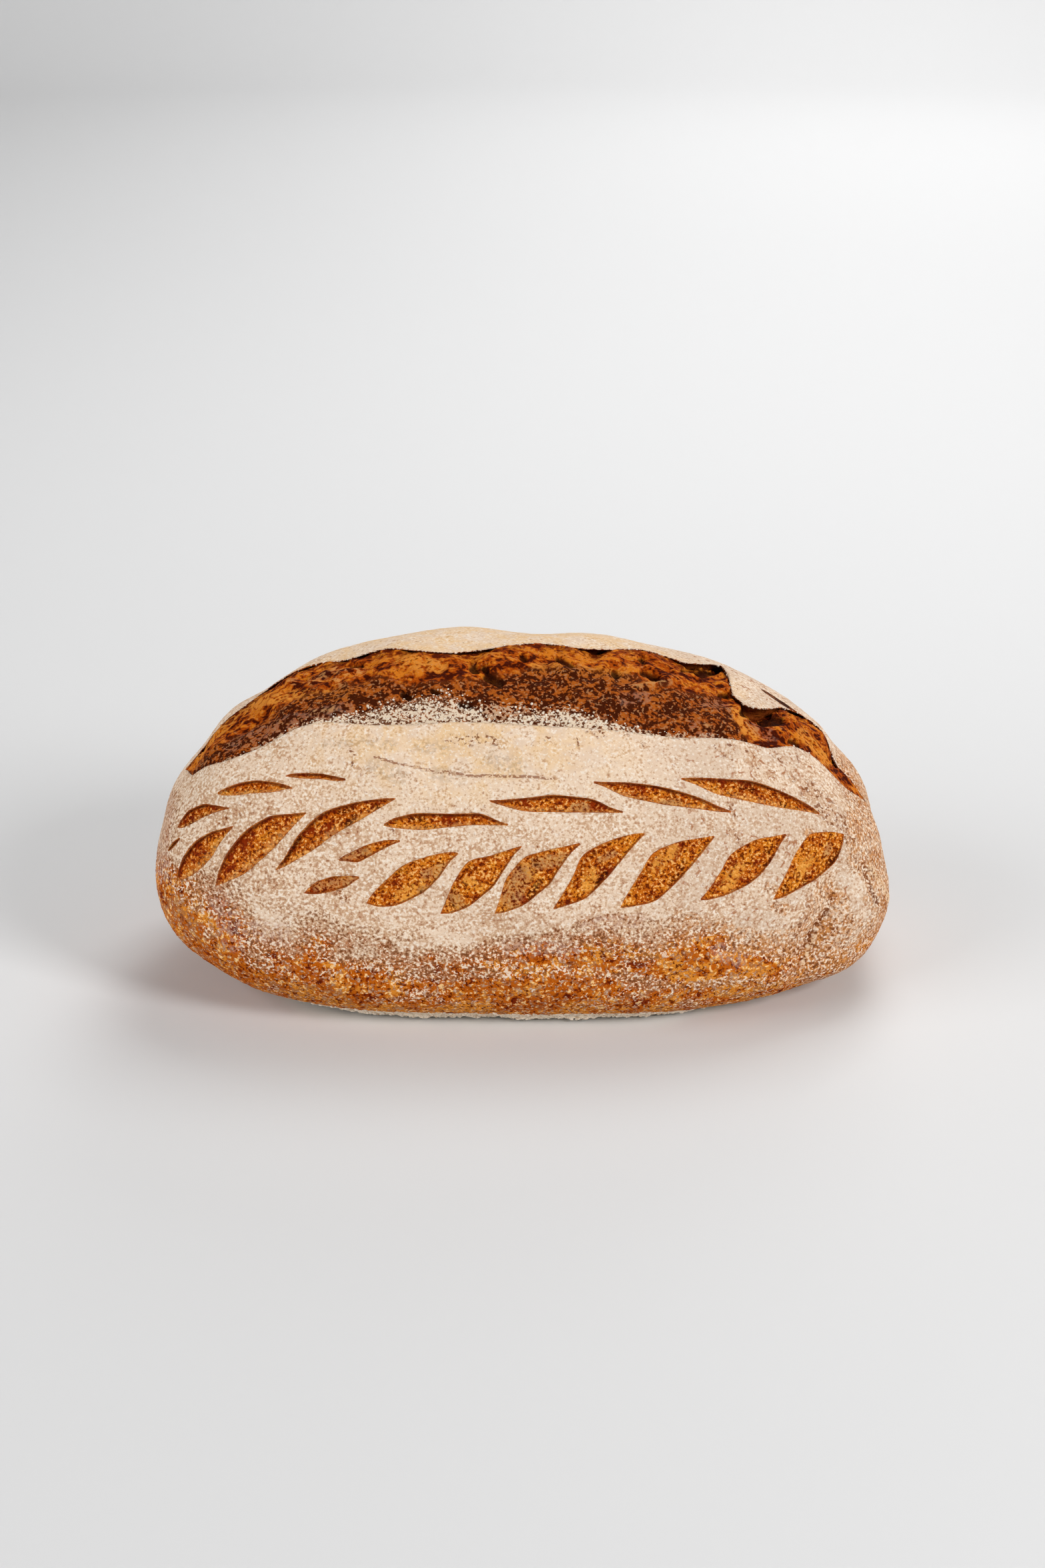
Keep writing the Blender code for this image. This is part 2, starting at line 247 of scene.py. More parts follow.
def on_crown(wanted):
    """Directions of the crown's places that lie at the wanted (x, y), seen from above."""
    return settle(wanted, over_plan, lambda point: point[:, :2].T)


def on_front(wanted):
    """Directions of the front's places that lie at the wanted (x, t) of the scoring plane."""
    return settle(wanted, before_blade, scoring_plane)


# The sheet the crust is meshed on. The directions are laid flat, about as large as the loaf in
# metres, and its triangles keep an even size on the crust: fine at the front, coarser behind.
SHEET_LENGTH = 0.135
SHEET_DEPTH = 0.073
FRONT_SPACING = 0.00098
BACK_SPACING = 0.0025
LEAF_SPACING = 0.00072
FINEST_SPACING = 0.0005
SPACING_STEPS = 8


def to_sheet(direction):
    """Directions laid flat around the crown."""
    away = np.sqrt(2 * (1 - direction[:, 2]))
    ring = np.maximum(np.hypot(direction[:, 0], direction[:, 1]), 1e-12)
    scale = (away / ring)[:, None]
    return direction[:, :2] * scale * (SHEET_LENGTH, SHEET_DEPTH)


def from_sheet(place):
    """Directions of places on the flat sheet."""
    flat = place / (SHEET_LENGTH, SHEET_DEPTH)
    away = np.clip((flat**2).sum(1), 0, 4)
    return np.column_stack([flat * np.sqrt(1 - away / 4)[:, None], 1 - away / 2])


def hexagons(low, high, spacing, seed):
    """Places of an even grid of triangles between two corners, each a little off its corner."""
    rows = np.arange(low[1], high[1], spacing * math.sqrt(0.75))
    columns = np.arange(low[0], high[0], spacing)
    x, y = np.meshgrid(columns, rows)
    x = x + (np.arange(len(rows)) % 2)[:, None] * spacing / 2
    places = np.column_stack([x.ravel(), y.ravel()])
    return places + np.random.default_rng(seed).uniform(-0.14, 0.14, places.shape) * spacing


def triangulate(places, lines):
    """Triangles over places that keep the lines, each a list of indices of neighbours."""
    edges = [(a, b) for line in lines for a, b in zip(line, line[1:])]
    made = geometry.delaunay_2d_cdt([Vector(place) for place in places * 1000], edges, [], 1, 1e-6)
    if len(made[0]) != len(places):
        raise ValueError("two lines of the crust's mesh cross or share a place")
    return np.array(made[2])


def walk(places):
    """How far along a line each of its places lies."""
    return np.concatenate([[0], np.cumsum(np.linalg.norm(np.diff(places, axis=0), axis=1))])


def spaced(places, gap):
    """Those places along a line that are about a gap apart, its two ends among them."""
    walked = walk(places)
    count = max(2, int(round(walked[-1] / gap)) + 1)
    return places[np.searchsorted(walked, np.linspace(0, walked[-1] * 0.999999, count))]


def inside(loop, places):
    """Whether each place lies inside a closed loop of places."""
    within = np.zeros(len(places), bool)
    for (ax, ay), (bx, by) in zip(loop, np.roll(loop, -1, axis=0)):
        spans = (ay > places[:, 1]) != (by > places[:, 1])
        if spans.any():
            crossing = ax + (places[:, 1] - ay) * (bx - ax) / (by - ay if by != ay else 1)
            within ^= spans & (places[:, 0] < crossing)
    return within


def base_edge(count):
    """Sheet places of the edge where the crust meets the baking stone, evenly round the base."""

    def at_stone(turn):
        heading = np.column_stack([np.cos(turn), np.sin(turn)]) * (SHEET_LENGTH, SHEET_DEPTH)
        low, high = np.full(len(turn), 1.6), np.full(len(turn), 1.9999)
        for _ in range(40):
            middle = (low + high) / 2
            above = body_point(from_sheet(heading * middle[:, None]))[:, 2] > 0
            low, high = np.where(above, middle, low), np.where(above, high, middle)
        return heading * low[:, None]

    turn = np.linspace(0, 2 * math.pi, 4001)
    walked = walk(body_point(from_sheet(at_stone(turn))))
    return at_stone(np.interp(np.arange(count) / count * walked[-1], walked, turn))


# The crown cut, a long slash that opened in the oven. Seen from above it runs between its lip
# and the edge of the ear; its floor of torn dough dips under the ear, to a root behind its edge.
LIP_LINE = np.array((
    (-124, -8), (-118, -27), (-102, -35.5), (-80, -35.8), (-50, -39.3), (-20, -40), (17, -39),
    (52, -35.6), (85, -25.5), (98, -15.5), (108, -11.8), (115, -11.2), (123.5, -4.5),
)) / 1000
EAR_LINE = np.array((
    (-124, -4), (-118, 0), (-107, 4), (-93, 8), (-79, 9), (-66, 4), (-52, 0), (-40, -6.5),
    (-30, -8), (-12, -4), (3, -1), (19, 1), (34, 6), (44, 12), (56, 10), (64, 15), (71, 21),
    (73.5, 14), (75, -3), (80, -7.5), (87, -3), (94, 10), (101, 19), (108, 20), (114, 11), (119, 2),
    (123.5, -1.5),
)) / 1000
CUT_TIPS = ((-0.1252, -0.005), (0.125, -0.0025))
LIP_WALL = 0.0008
EAR_THICKNESS = 0.0007
EAR_FACE = 0.0005
CUT_DEPTH = 0.0046
DEPTH_UNDER_EDGE = 0.0006
EDGE_WAVER = 0.0003
UNDERCUT = 0.0065
CAVE_UNDERCUT = 80
CAVES = (
    (-0.057, 0.004, 0.0012), (-0.018, 0.005, 0.0008), (0.025, 0.0035, 0.0016),
    (0.06, 0.006, 0.001), (0.069, 0.0032, 0.0018), (0.0835, 0.0052, 0.0034),
)
CRUMB_RELIEF = 0.0009
CRUMB_WAVE = 0.013
END_TAPER = 0.03
TORN_SPACING = 0.00088


def crumb_bump(x, y):
    """The torn crumb's slow unevenness."""
    wave = 2 * math.pi / CRUMB_WAVE
    bump = np.sin(wave * x + 2 * np.sin(wave * 0.37 * y)) * np.cos(wave * 0.8 * y + 0.9)
    bump += 0.8 * np.sin(wave * 0.43 * x - wave * 0.5 * y + 0.6)
    return CRUMB_RELIEF * bump


def crown_height(x, y):
    """Height of the uncut crown above (x, y)."""
    return skin(on_crown(np.column_stack([x, y])))[0][:, 2]


def cave_depth(x):
    """How much deeper than elsewhere the cut runs in under the ear at x."""
    return sum(depth * bell(x - place, length) for place, length, depth in CAVES)


def crown_lengths(x):
    """Lengths across the cut at x: lip wall, floor, underside of the ear, and the ear's face."""
    lip, ear = line_at(LIP_LINE, x), line_at(EAR_LINE, x)
    taper = smooth_step(ear - lip, 0, END_TAPER)
    under = UNDERCUT * (0.2 + 0.8 * taper) * (1 + CAVE_UNDERCUT * cave_depth(x))
    fade = np.minimum(1, (ear - lip) / 0.004)
    return LIP_WALL * fade, ear + under - lip, under, EAR_FACE * fade


def crown_cut(x, across):
    """Points of the cut at x and at a way across its unrolled section."""
    lip, ear = line_at(LIP_LINE, x), line_at(EAR_LINE, x)
    wall, floor, under, face = crown_lengths(x)
    taper = smooth_step(ear - lip, 0, END_TAPER)
    cave = cave_depth(x)
    deep = CUT_DEPTH * (0.35 + 0.65 * taper) + cave
    waver = EDGE_WAVER * np.sin(x / 0.0062 + 2 * np.sin(x / 0.017)) * np.sin(x / 0.0131 + 0.7)
    at_edge = (DEPTH_UNDER_EDGE + waver) * (0.35 + 0.65 * taper) + cave
    on_floor = np.clip((across - wall) / floor, 0, 1)
    on_under = np.clip((across - wall - floor) / under, 0, 1)
    on_face = np.clip((across - wall - floor - under) / np.maximum(face, 1e-9), 0, 1)
    y = lip + floor * on_floor - under * on_under
    reach = np.clip((y - lip) / np.maximum(ear - lip, 1e-9), 0, 1)
    floor_depth = wall + (at_edge - wall) * reach**0.7
    floor_depth += (deep - at_edge) * smooth_step(y - ear, 0, 0.8 * under)
    floor_depth -= crumb_bump(x, y) * np.sin(math.pi * on_floor) * taper
    under_depth = EAR_THICKNESS + (deep - EAR_THICKNESS) * (1 - on_under) ** 2.5
    under_depth += (face - EAR_THICKNESS) * smooth_step(on_under, 0.4, 1)
    depth = np.where(on_under > 0, under_depth, floor_depth)
    depth = np.where(across < wall, np.clip(across, 0, None), depth) * (1 - on_face)
    return np.column_stack([x, y, crown_height(x, y) - depth])


# The scoring, two ears of wheat that a baker's blade drew in the floured skin. Each cut opened
# in the oven into a leaf-shaped pocket: a thin wall along its upper edge and a floor of crumb
# that rises to the lower one. Each row gives in mm the (x, t) of a cut's lower left tip and of
# its other tip, and how far its upper and its lower edge stand off the line between them.
LEFT_EAR = (
    ((-83, 64.5, -57, 63.3), (1.1, 1.7, 1.8, 1.2, 0.3), (-0.1, -0.4, -0.2, -0.6, -0.1)),
    ((-108, 58.3, -79, 60.3), (1.4, 3, 3.7, 3, 1.5), (-0.9, -1.2, -0.8, -0.9, -0.1)),
    ((-122.5, 46, -101, 53.3), (2.4, 4.8, 5, 3.3, 1), (-0.8, -0.4, 0.4, 0.6, 0.2)),
    ((-127, 37, -120, 43.3), (0.5, 0.9, 1, 0.8, 0.3), (-0.2, -0.5, -0.6, -0.4, -0.1)),
    ((-123, 26.7, -100, 47.2), (2.2, 4.9, 5.7, 4.5, 1.6), (-1.4, -2.8, -2.9, -1.3, -0.1)),
    ((-107.5, 25.6, -74, 52.2), (3.2, 7, 8.5, 7.4, 2.6), (-1.4, -3.3, -3, -1.9, -0.5)),
    ((-86, 31.3, -42.5, 57.5), (1.9, 6.8, 8.9, 6.7, 2.7), (-0.6, -0.7, 0.1, 0, 0.1)),
)
RIGHT_EAR = (
    ((-48, 47.9, -1, 48.3), (2.7, 4.4, 4.2, 4.4, 1.2), (-0.9, -1.5, -0.5, 0.3, 0.2)),
    ((-12.5, 57.1, 38, 53.4), (0.6, 2.3, 4.1, 3.9, 1), (-1, -2.6, -1.9, -1.2, -0.4)),
    ((22.2, 64.5, 75, 54.1), (0.7, 2.6, 3.4, 2.8, 0.8), (-0.5, -2.6, -2.6, -1.7, -0.9)),
    ((54.2, 65.8, 107, 53.5), (1.6, 3.9, 5.6, 4.6, 2.2), (-0.4, -2, -1.7, -1.2, -0.1)),
    ((-63.7, 35.2, -40, 42.7), (1, 1.8, 2.4, 2.2, 1.1), (-0.7, -2.5, -1.6, -0.6, 0)),
    ((-75.3, 23.8, -55, 29.7), (1.4, 2.9, 3.1, 2.2, 1.2), (-0.9, -1.8, -2, -1.9, -0.5)),
    ((-53.5, 20.6, -20.7, 38.8), (1.9, 4.1, 5.5, 4.4, 2.2), (-3.4, -6, -6.2, -4.4, -0.9)),
    ((-27.6, 17.3, 1.6, 41.8), (1.9, 5.7, 7.8, 4.6, 1.6), (-2.6, -4.5, -4.5, -2.5, -0.3)),
    ((-8.6, 17.6, 22.3, 43.3), (2.4, 7.3, 8.7, 5.8, 1.8), (-2.2, -4.2, -4.2, -1.9, -0.1)),
    ((11.4, 19.3, 43.9, 46.7), (1.3, 4.4, 8, 6.3, 2.8), (-1.8, -4.4, -3.6, -2, -0.5)),
    ((35, 20.3, 68.3, 46.1), (2, 5.3, 8.4, 6.4, 2.2), (-2.5, -5.6, -4.8, -3.2, -1.1)),
    ((62.5, 23.2, 93.8, 47.1), (0.7, 3.4, 6.3, 5.4, 1.9), (-2.4, -5, -6.1, -4.7, -1.3)),
    ((88.8, 23.5, 114.8, 47.2), (1.5, 4.1, 7.1, 8.5, 4.1), (-1.8, -3.6, -5.2, -5.4, -2.8)),
)
LEAF_PARTS = (0.1, 0.3, 0.5, 0.7, 0.9)
LEAF_UPPER_DEPTH = 0.0022
LEAF_MIDDLE_DEPTH = 0.0016
LEAF_LOWER_DEPTH = 0.0009
LEAF_WALL = 0.0003
UPPER_LEAVES = 4
LEAF_LINE_SPACING = 0.0008


def leaf_edge(offsets, part):
    """Stand-off of a leaf's edge from the line between its tips, at parts of its length."""
    knots = zip((0, *LEAF_PARTS, 1), (0, *offsets, 0))
    return line_at(tuple(knots), part) / 1000


def leaf_frame(leaf):
    """A leaf's first tip, the line to its other tip, and the way across it, on the plane."""
    tips = np.array(leaf[0]) / 1000
    chord = tips[2:] - tips[:2]
    return tips[:2], chord, unit(np.array([-chord[1], chord[0]]))


def leaf_loop(leaf, inset):
    """A closed loop on the scoring plane, a leaf's outline drawn in by inset."""
    start, chord, across = leaf_frame(leaf)
    part = np.linspace(0, 1, 1500)
    top = leaf_edge(leaf[1], part) - inset
    bottom = leaf_edge(leaf[2], part) + inset
    open_part = top - bottom > 0.6 * inset
    part, top, bottom = part[open_part], top[open_part], bottom[open_part]
    middle = start + part[:, None] * chord
    upper = spaced(middle + top[:, None] * across, LEAF_LINE_SPACING)
    lower = spaced(middle + bottom[:, None] * across, LEAF_LINE_SPACING)
    return np.concatenate([upper, lower[-2:0:-1]] if inset == 0 else [upper, lower[::-1]])


def leaf_place(leaf, x, t):
    """Where (x, t) lies in a leaf: part along it, side from 0 at its lower edge to 1, width."""
    start, chord, across = leaf_frame(leaf)
    off = np.stack([x, t], -1) - start
    part = off @ chord / (chord @ chord)
    held = np.clip(part, 1e-6, 1 - 1e-6)
    bottom = leaf_edge(leaf[2], held)
    width = leaf_edge(leaf[1], held) - bottom
    side = (off @ across - bottom) / np.maximum(width, 1e-9)
    return np.where((part > 0) & (part < 1), part, -1), side, width


def leaf_depth(part, side):
    """Depth of a leaf's floor, deepest under its upper edge."""
    low = LEAF_LOWER_DEPTH + (LEAF_MIDDLE_DEPTH - LEAF_LOWER_DEPTH) * side / 0.6
    high = LEAF_MIDDLE_DEPTH + (LEAF_UPPER_DEPTH - LEAF_MIDDLE_DEPTH) * (side - 0.6) / 0.4
    return np.where(side < 0.6, low, high) * np.minimum(1, 2.5 * np.minimum(part, 1 - part))


# The mesh of the crust. Lines go in first: the stone's edge, the crown cut, the leaves' outlines
# and floors, and cracks in the flour, in mm on the scoring plane. Loose places then fill the
# sheet between them, and triangles join all. The split behind is laid out in mm from above.
STONE_EDGE_POINTS = 400
LINE_CLEARANCE = 0.0005
CRACK_SPACING = 0.0009
CRACK_WAVER = 0.0003
BASE_SPACING = 0.0045
LEAF_SEED, TORN_SEED, BASE_SEED = 4, 11, 12
FLOUR_CRACKS = (
    ((-51.9, 72), (-41.1, 69.1), (-29.9, 66.9), (-16.5, 65.7), (3.9, 65.5), (12.7, 65)),
    ((97.5, 76.4), (98.5, 71.8)), ((99.3, 71.2), (100.5, 69.6)), ((-51.4, 19), (-50.5, 17)),
    ((-49.3, 16), (-48.9, 13.5)), ((-99.2, 52.3), (-97.7, 49.8)), ((-88.5, 30), (-86.4, 27.1)),
    ((13.4, -3.7), (21.4, -7)), ((102.7, 23.5), (103.3, 26.4)),
)
SPLIT_MIDDLE = 93
SPLIT_HALF_LENGTH = 8
SPLIT_WIDTHS = (2, 4.4)
SPLIT_LINE = ((86.5, 19), (89.5, 18.4), (94, 18.2), (97.5, 18), (99.5, 18.3))
LEAVES = LEFT_EAR + RIGHT_EAR
places, lines = [], []


def lay_line(directions, closed):
    """Adds a line of directions to the sheet and returns the indices of its places."""
    first = sum(len(laid) for laid in places)
    index = list(range(first, first + len(directions)))
    places.append(to_sheet(directions))
    lines.append(index + index[:1] if closed else index)
    return index


def search_tree(points):
    """A tree that finds the nearest of some points."""
    tree = kdtree.KDTree(len(points))
    for number, point in enumerate(points):
        tree.insert(point, number)
    tree.balance()
    return tree


def clear_of(tree, points, gap):
    """Whether each point lies more than a gap away from all those of a tree."""
    return np.array([tree.find(point)[2] > gap for point in points], bool)


stone_edge = base_edge(STONE_EDGE_POINTS)
lay_line(from_sheet(stone_edge), True)

fine_x = np.linspace(LIP_LINE[0][0], LIP_LINE[-1][0], 8000)
lip = spaced(np.column_stack([fine_x, line_at(LIP_LINE, fine_x)]), TORN_SPACING)
ear = spaced(np.column_stack([fine_x, line_at(EAR_LINE, fine_x)]), TORN_SPACING)
crown_directions = on_crown(np.concatenate([CUT_TIPS[:1], lip, CUT_TIPS[1:], ear[::-1]]))
crown_index = lay_line(crown_directions, True)

for leaf in LEAVES:
    for inset in (0, LEAF_WALL):
        lay_line(on_front(leaf_loop(leaf, inset)), True)

crack_index = []
for line in FLOUR_CRACKS:
    corners = np.array(line) / 1000
    along = np.linspace(0, 1, 400) * (len(corners) - 1)
    step = np.minimum(along.astype(int), len(corners) - 2)
    line = corners[step] + (corners[step + 1] - corners[step]) * (along - step)[:, None]
    line = spaced(line, CRACK_SPACING)
    line[:, 1] += CRACK_WAVER * np.sin(line[:, 0] / 0.0011) * np.sin(line[:, 0] / 0.0023 + 1)
    crack_index += lay_line(on_front(line), False)[1:-1]

near_lines = search_tree(skin(from_sheet(np.concatenate(places)))[0])
for leaf in LEAVES:
    outline = leaf_loop(leaf, 0)
    loose = hexagons(outline.min(0), outline.max(0), LEAF_SPACING, LEAF_SEED)
    part, side, width = leaf_place(leaf, *loose.T)
    loose = on_front(loose[(part > 0) & (side > 0) & (side < 1)])
    places.append(to_sheet(loose)[clear_of(near_lines, skin(loose)[0], LINE_CLEARANCE)])

half_sheet = 2 * np.array([SHEET_LENGTH, SHEET_DEPTH])
lattice_u = np.linspace(-half_sheet[0], half_sheet[0], 241)
lattice_v = np.linspace(-half_sheet[1], half_sheet[1], 141)
lattice = np.stack(np.meshgrid(lattice_u, lattice_v), -1).reshape(-1, 2)
lattice_points, lattice_facing = skin(unit(from_sheet(lattice) + 1e-9))
grid = lattice_points.reshape(len(lattice_v), len(lattice_u), 3)
stretch = np.cross(np.gradient(grid, lattice_u, axis=1), np.gradient(grid, lattice_v, axis=0))
stretch = np.sqrt(np.linalg.norm(stretch, axis=-1))
turned_away = smooth_step(lattice_facing @ BLADE, -0.05, 0.35).reshape(stretch.shape)
wanted = FRONT_SPACING + (BACK_SPACING - FRONT_SPACING) * turned_away
wanted = wanted / np.maximum(stretch, 0.05)
for step in range(SPACING_STEPS):
    spacing = FINEST_SPACING * 2 ** (step / 2)
    loose = hexagons(-half_sheet, half_sheet, spacing, step)
    u = (loose[:, 0] - lattice_u[0]) / (lattice_u[1] - lattice_u[0])
    v = (loose[:, 1] - lattice_v[0]) / (lattice_v[1] - lattice_v[0])
    column = np.clip(u.astype(int), 0, len(lattice_u) - 2)
    row = np.clip(v.astype(int), 0, len(lattice_v) - 2)
    u, v = np.clip(u - column, 0, 1), np.clip(v - row, 0, 1)
    here = (wanted[row, column] * (1 - u) + wanted[row, column + 1] * u) * (1 - v)
    here += (wanted[row + 1, column] * (1 - u) + wanted[row + 1, column + 1] * u) * v
    loose = loose[(here > spacing / 2**0.25) & (here <= spacing * 2**0.25)]
    loose = loose[inside(stone_edge, loose)]
    loose = loose[~inside(to_sheet(crown_directions), loose)]
    point = skin(from_sheet(loose))[0]
    x, t = scoring_plane(point)
    kept = clear_of(near_lines, point, LINE_CLEARANCE)
    for leaf in LEAVES:
        part, side, width = leaf_place(leaf, x, t)
        kept &= ~((part > 0) & (side > 0) & (side < 1) & (point[:, 1] < 0))
    places.append(loose[kept])

sheet = np.concatenate(places)
skin_faces = triangulate(sheet, lines)
on_cut = np.zeros(len(sheet), bool)
on_cut[crown_index] = True
spans_cut = np.flatnonzero(on_cut[skin_faces].all(1))
spans_cut = spans_cut[inside(sheet[crown_index], sheet[skin_faces[spans_cut]].mean(1))]
skin_faces = np.delete(skin_faces, spans_cut, axis=0)
skin_points, skin_facing = skin(from_sheet(sheet))


def flat(places):
    """Points at height 0 under places."""
    return np.column_stack([places, 0 * places[:, 0]])


def fill_patch(loop, inner_lines, spacing, seed):
    """Loose places and lines inside a closed loop, and triangles that number the loop first."""
    drawn = np.concatenate([loop] + inner_lines)
    loose = hexagons(loop.min(0), loop.max(0), spacing, seed)
    loose = loose[inside(loop, loose)]
    loose = loose[clear_of(search_tree(flat(drawn)), flat(loose), 0.55 * spacing)]
    runs, first = [list(range(len(loop))) + [0]], len(loop)
    for line in inner_lines:
        runs.append(list(range(first, first + len(line))))
        first += len(line)
    everything = np.concatenate([drawn, loose])
    return everything[len(loop):], triangulate(everything, runs)


# The torn dough's own sheet: x along the cut, and the way across its unrolled section.
ear_across = sum(crown_lengths(ear[:, 0]))
cut_loop = np.concatenate([
    [[CUT_TIPS[0][0], ear_across[0] / 2]],
    flat(lip[:, :1]),
    [[CUT_TIPS[1][0], ear_across[-1] / 2]],
    np.column_stack([ear[:, 0], ear_across])[::-1],
])
fold_x = fine_x[(fine_x > -0.1222) & (fine_x < 0.1217)]
wall, floor, under, face = crown_lengths(fold_x)
folds = [np.column_stack([fold_x, across]) for across in (wall, wall + floor + under)]
folds = [spaced(fold, TORN_SPACING) for fold in folds]
torn_places, torn_faces = fill_patch(cut_loop, folds, TORN_SPACING, TORN_SEED)
torn_points = crown_cut(*torn_places.T)

# The base, flat where it stood on the stone.
stone_loop = skin_points[:STONE_EDGE_POINTS]
base_places, base_faces = fill_patch(stone_loop[:, :2], [], BASE_SPACING, BASE_SEED)
base_points = flat(base_places)

# The leaves' floors lie under the skin, along the blade.
x, t = scoring_plane(skin_points)
slant = np.maximum(-skin_facing @ BLADE, 0.35)
sunk, leaf_side, leaf_width, leaf_number = np.zeros((4, len(sheet)))
for number, leaf in enumerate(LEAVES, 1):
    part, side, width = leaf_place(leaf, x, t)
    wall_share = 0.6 * LEAF_WALL / np.maximum(width, LEAF_WALL)
    within = (part > 0) & (side > wall_share) & (side < 1 - wall_share) & (skin_points[:, 1] < 0)
    sunk[within] = (leaf_depth(part, side) / slant)[within]
    leaf_side[within], leaf_width[within] = side[within], width[within]
    leaf_number[within] = number
in_leaf = leaf_number > 0
crack = np.zeros(len(sheet))
crack[crack_index] = 1
off_split = away_from(SPLIT_LINE, *skin_points[:, :2].T * 1000)
along_split = (skin_points[:, 0] * 1000 - SPLIT_MIDDLE) / SPLIT_HALF_LENGTH
split_taper = np.sqrt(np.clip(1 - along_split**2, 0, 1))
full, none = SPLIT_WIDTHS
split = 1 - smooth_step(off_split, full * split_taper, none * split_taper + 0.01)
split = split * split_taper * (skin_points[:, 2] > 0.07)
skin_points = skin_points + sunk[:, None] * BLADE

# Where the dough spread on the stone it stands out in front as a low ragged ledge.
LEDGE_REACH = 0.0032
ledge_x, ledge_y, ledge_z = skin_points.T
lip_place = smooth_step(ledge_x, -0.1, -0.078) * smooth_step(-ledge_x, -0.068, -0.048)
lip_place = lip_place * (ledge_y < 0)
ragged = 0.75 + 0.15 * np.sin(ledge_x / 0.0083) + 0.18 * np.sin(ledge_x / 0.0031 + 1)
ledge = lip_place * ragged * (0.5 + 0.5 * smooth_step(ledge_z, 0.0001, 0.0008))
ledge = ledge * smooth_step(-ledge_z, -0.0038, -0.0019)
skin_points[:, :2] += LEDGE_REACH * ledge[:, None] * unit(skin_facing[:, :2])

vertices = np.concatenate([skin_points, torn_points, base_points])
torn_numbers = np.concatenate([crown_index, len(sheet) + np.arange(len(torn_points))])
base_numbers = np.concatenate([
    np.arange(STONE_EDGE_POINTS), len(sheet) + len(torn_points) + np.arange(len(base_points))
])
patches = (skin_faces, torn_numbers[torn_faces], base_numbers[base_faces][:, ::-1])


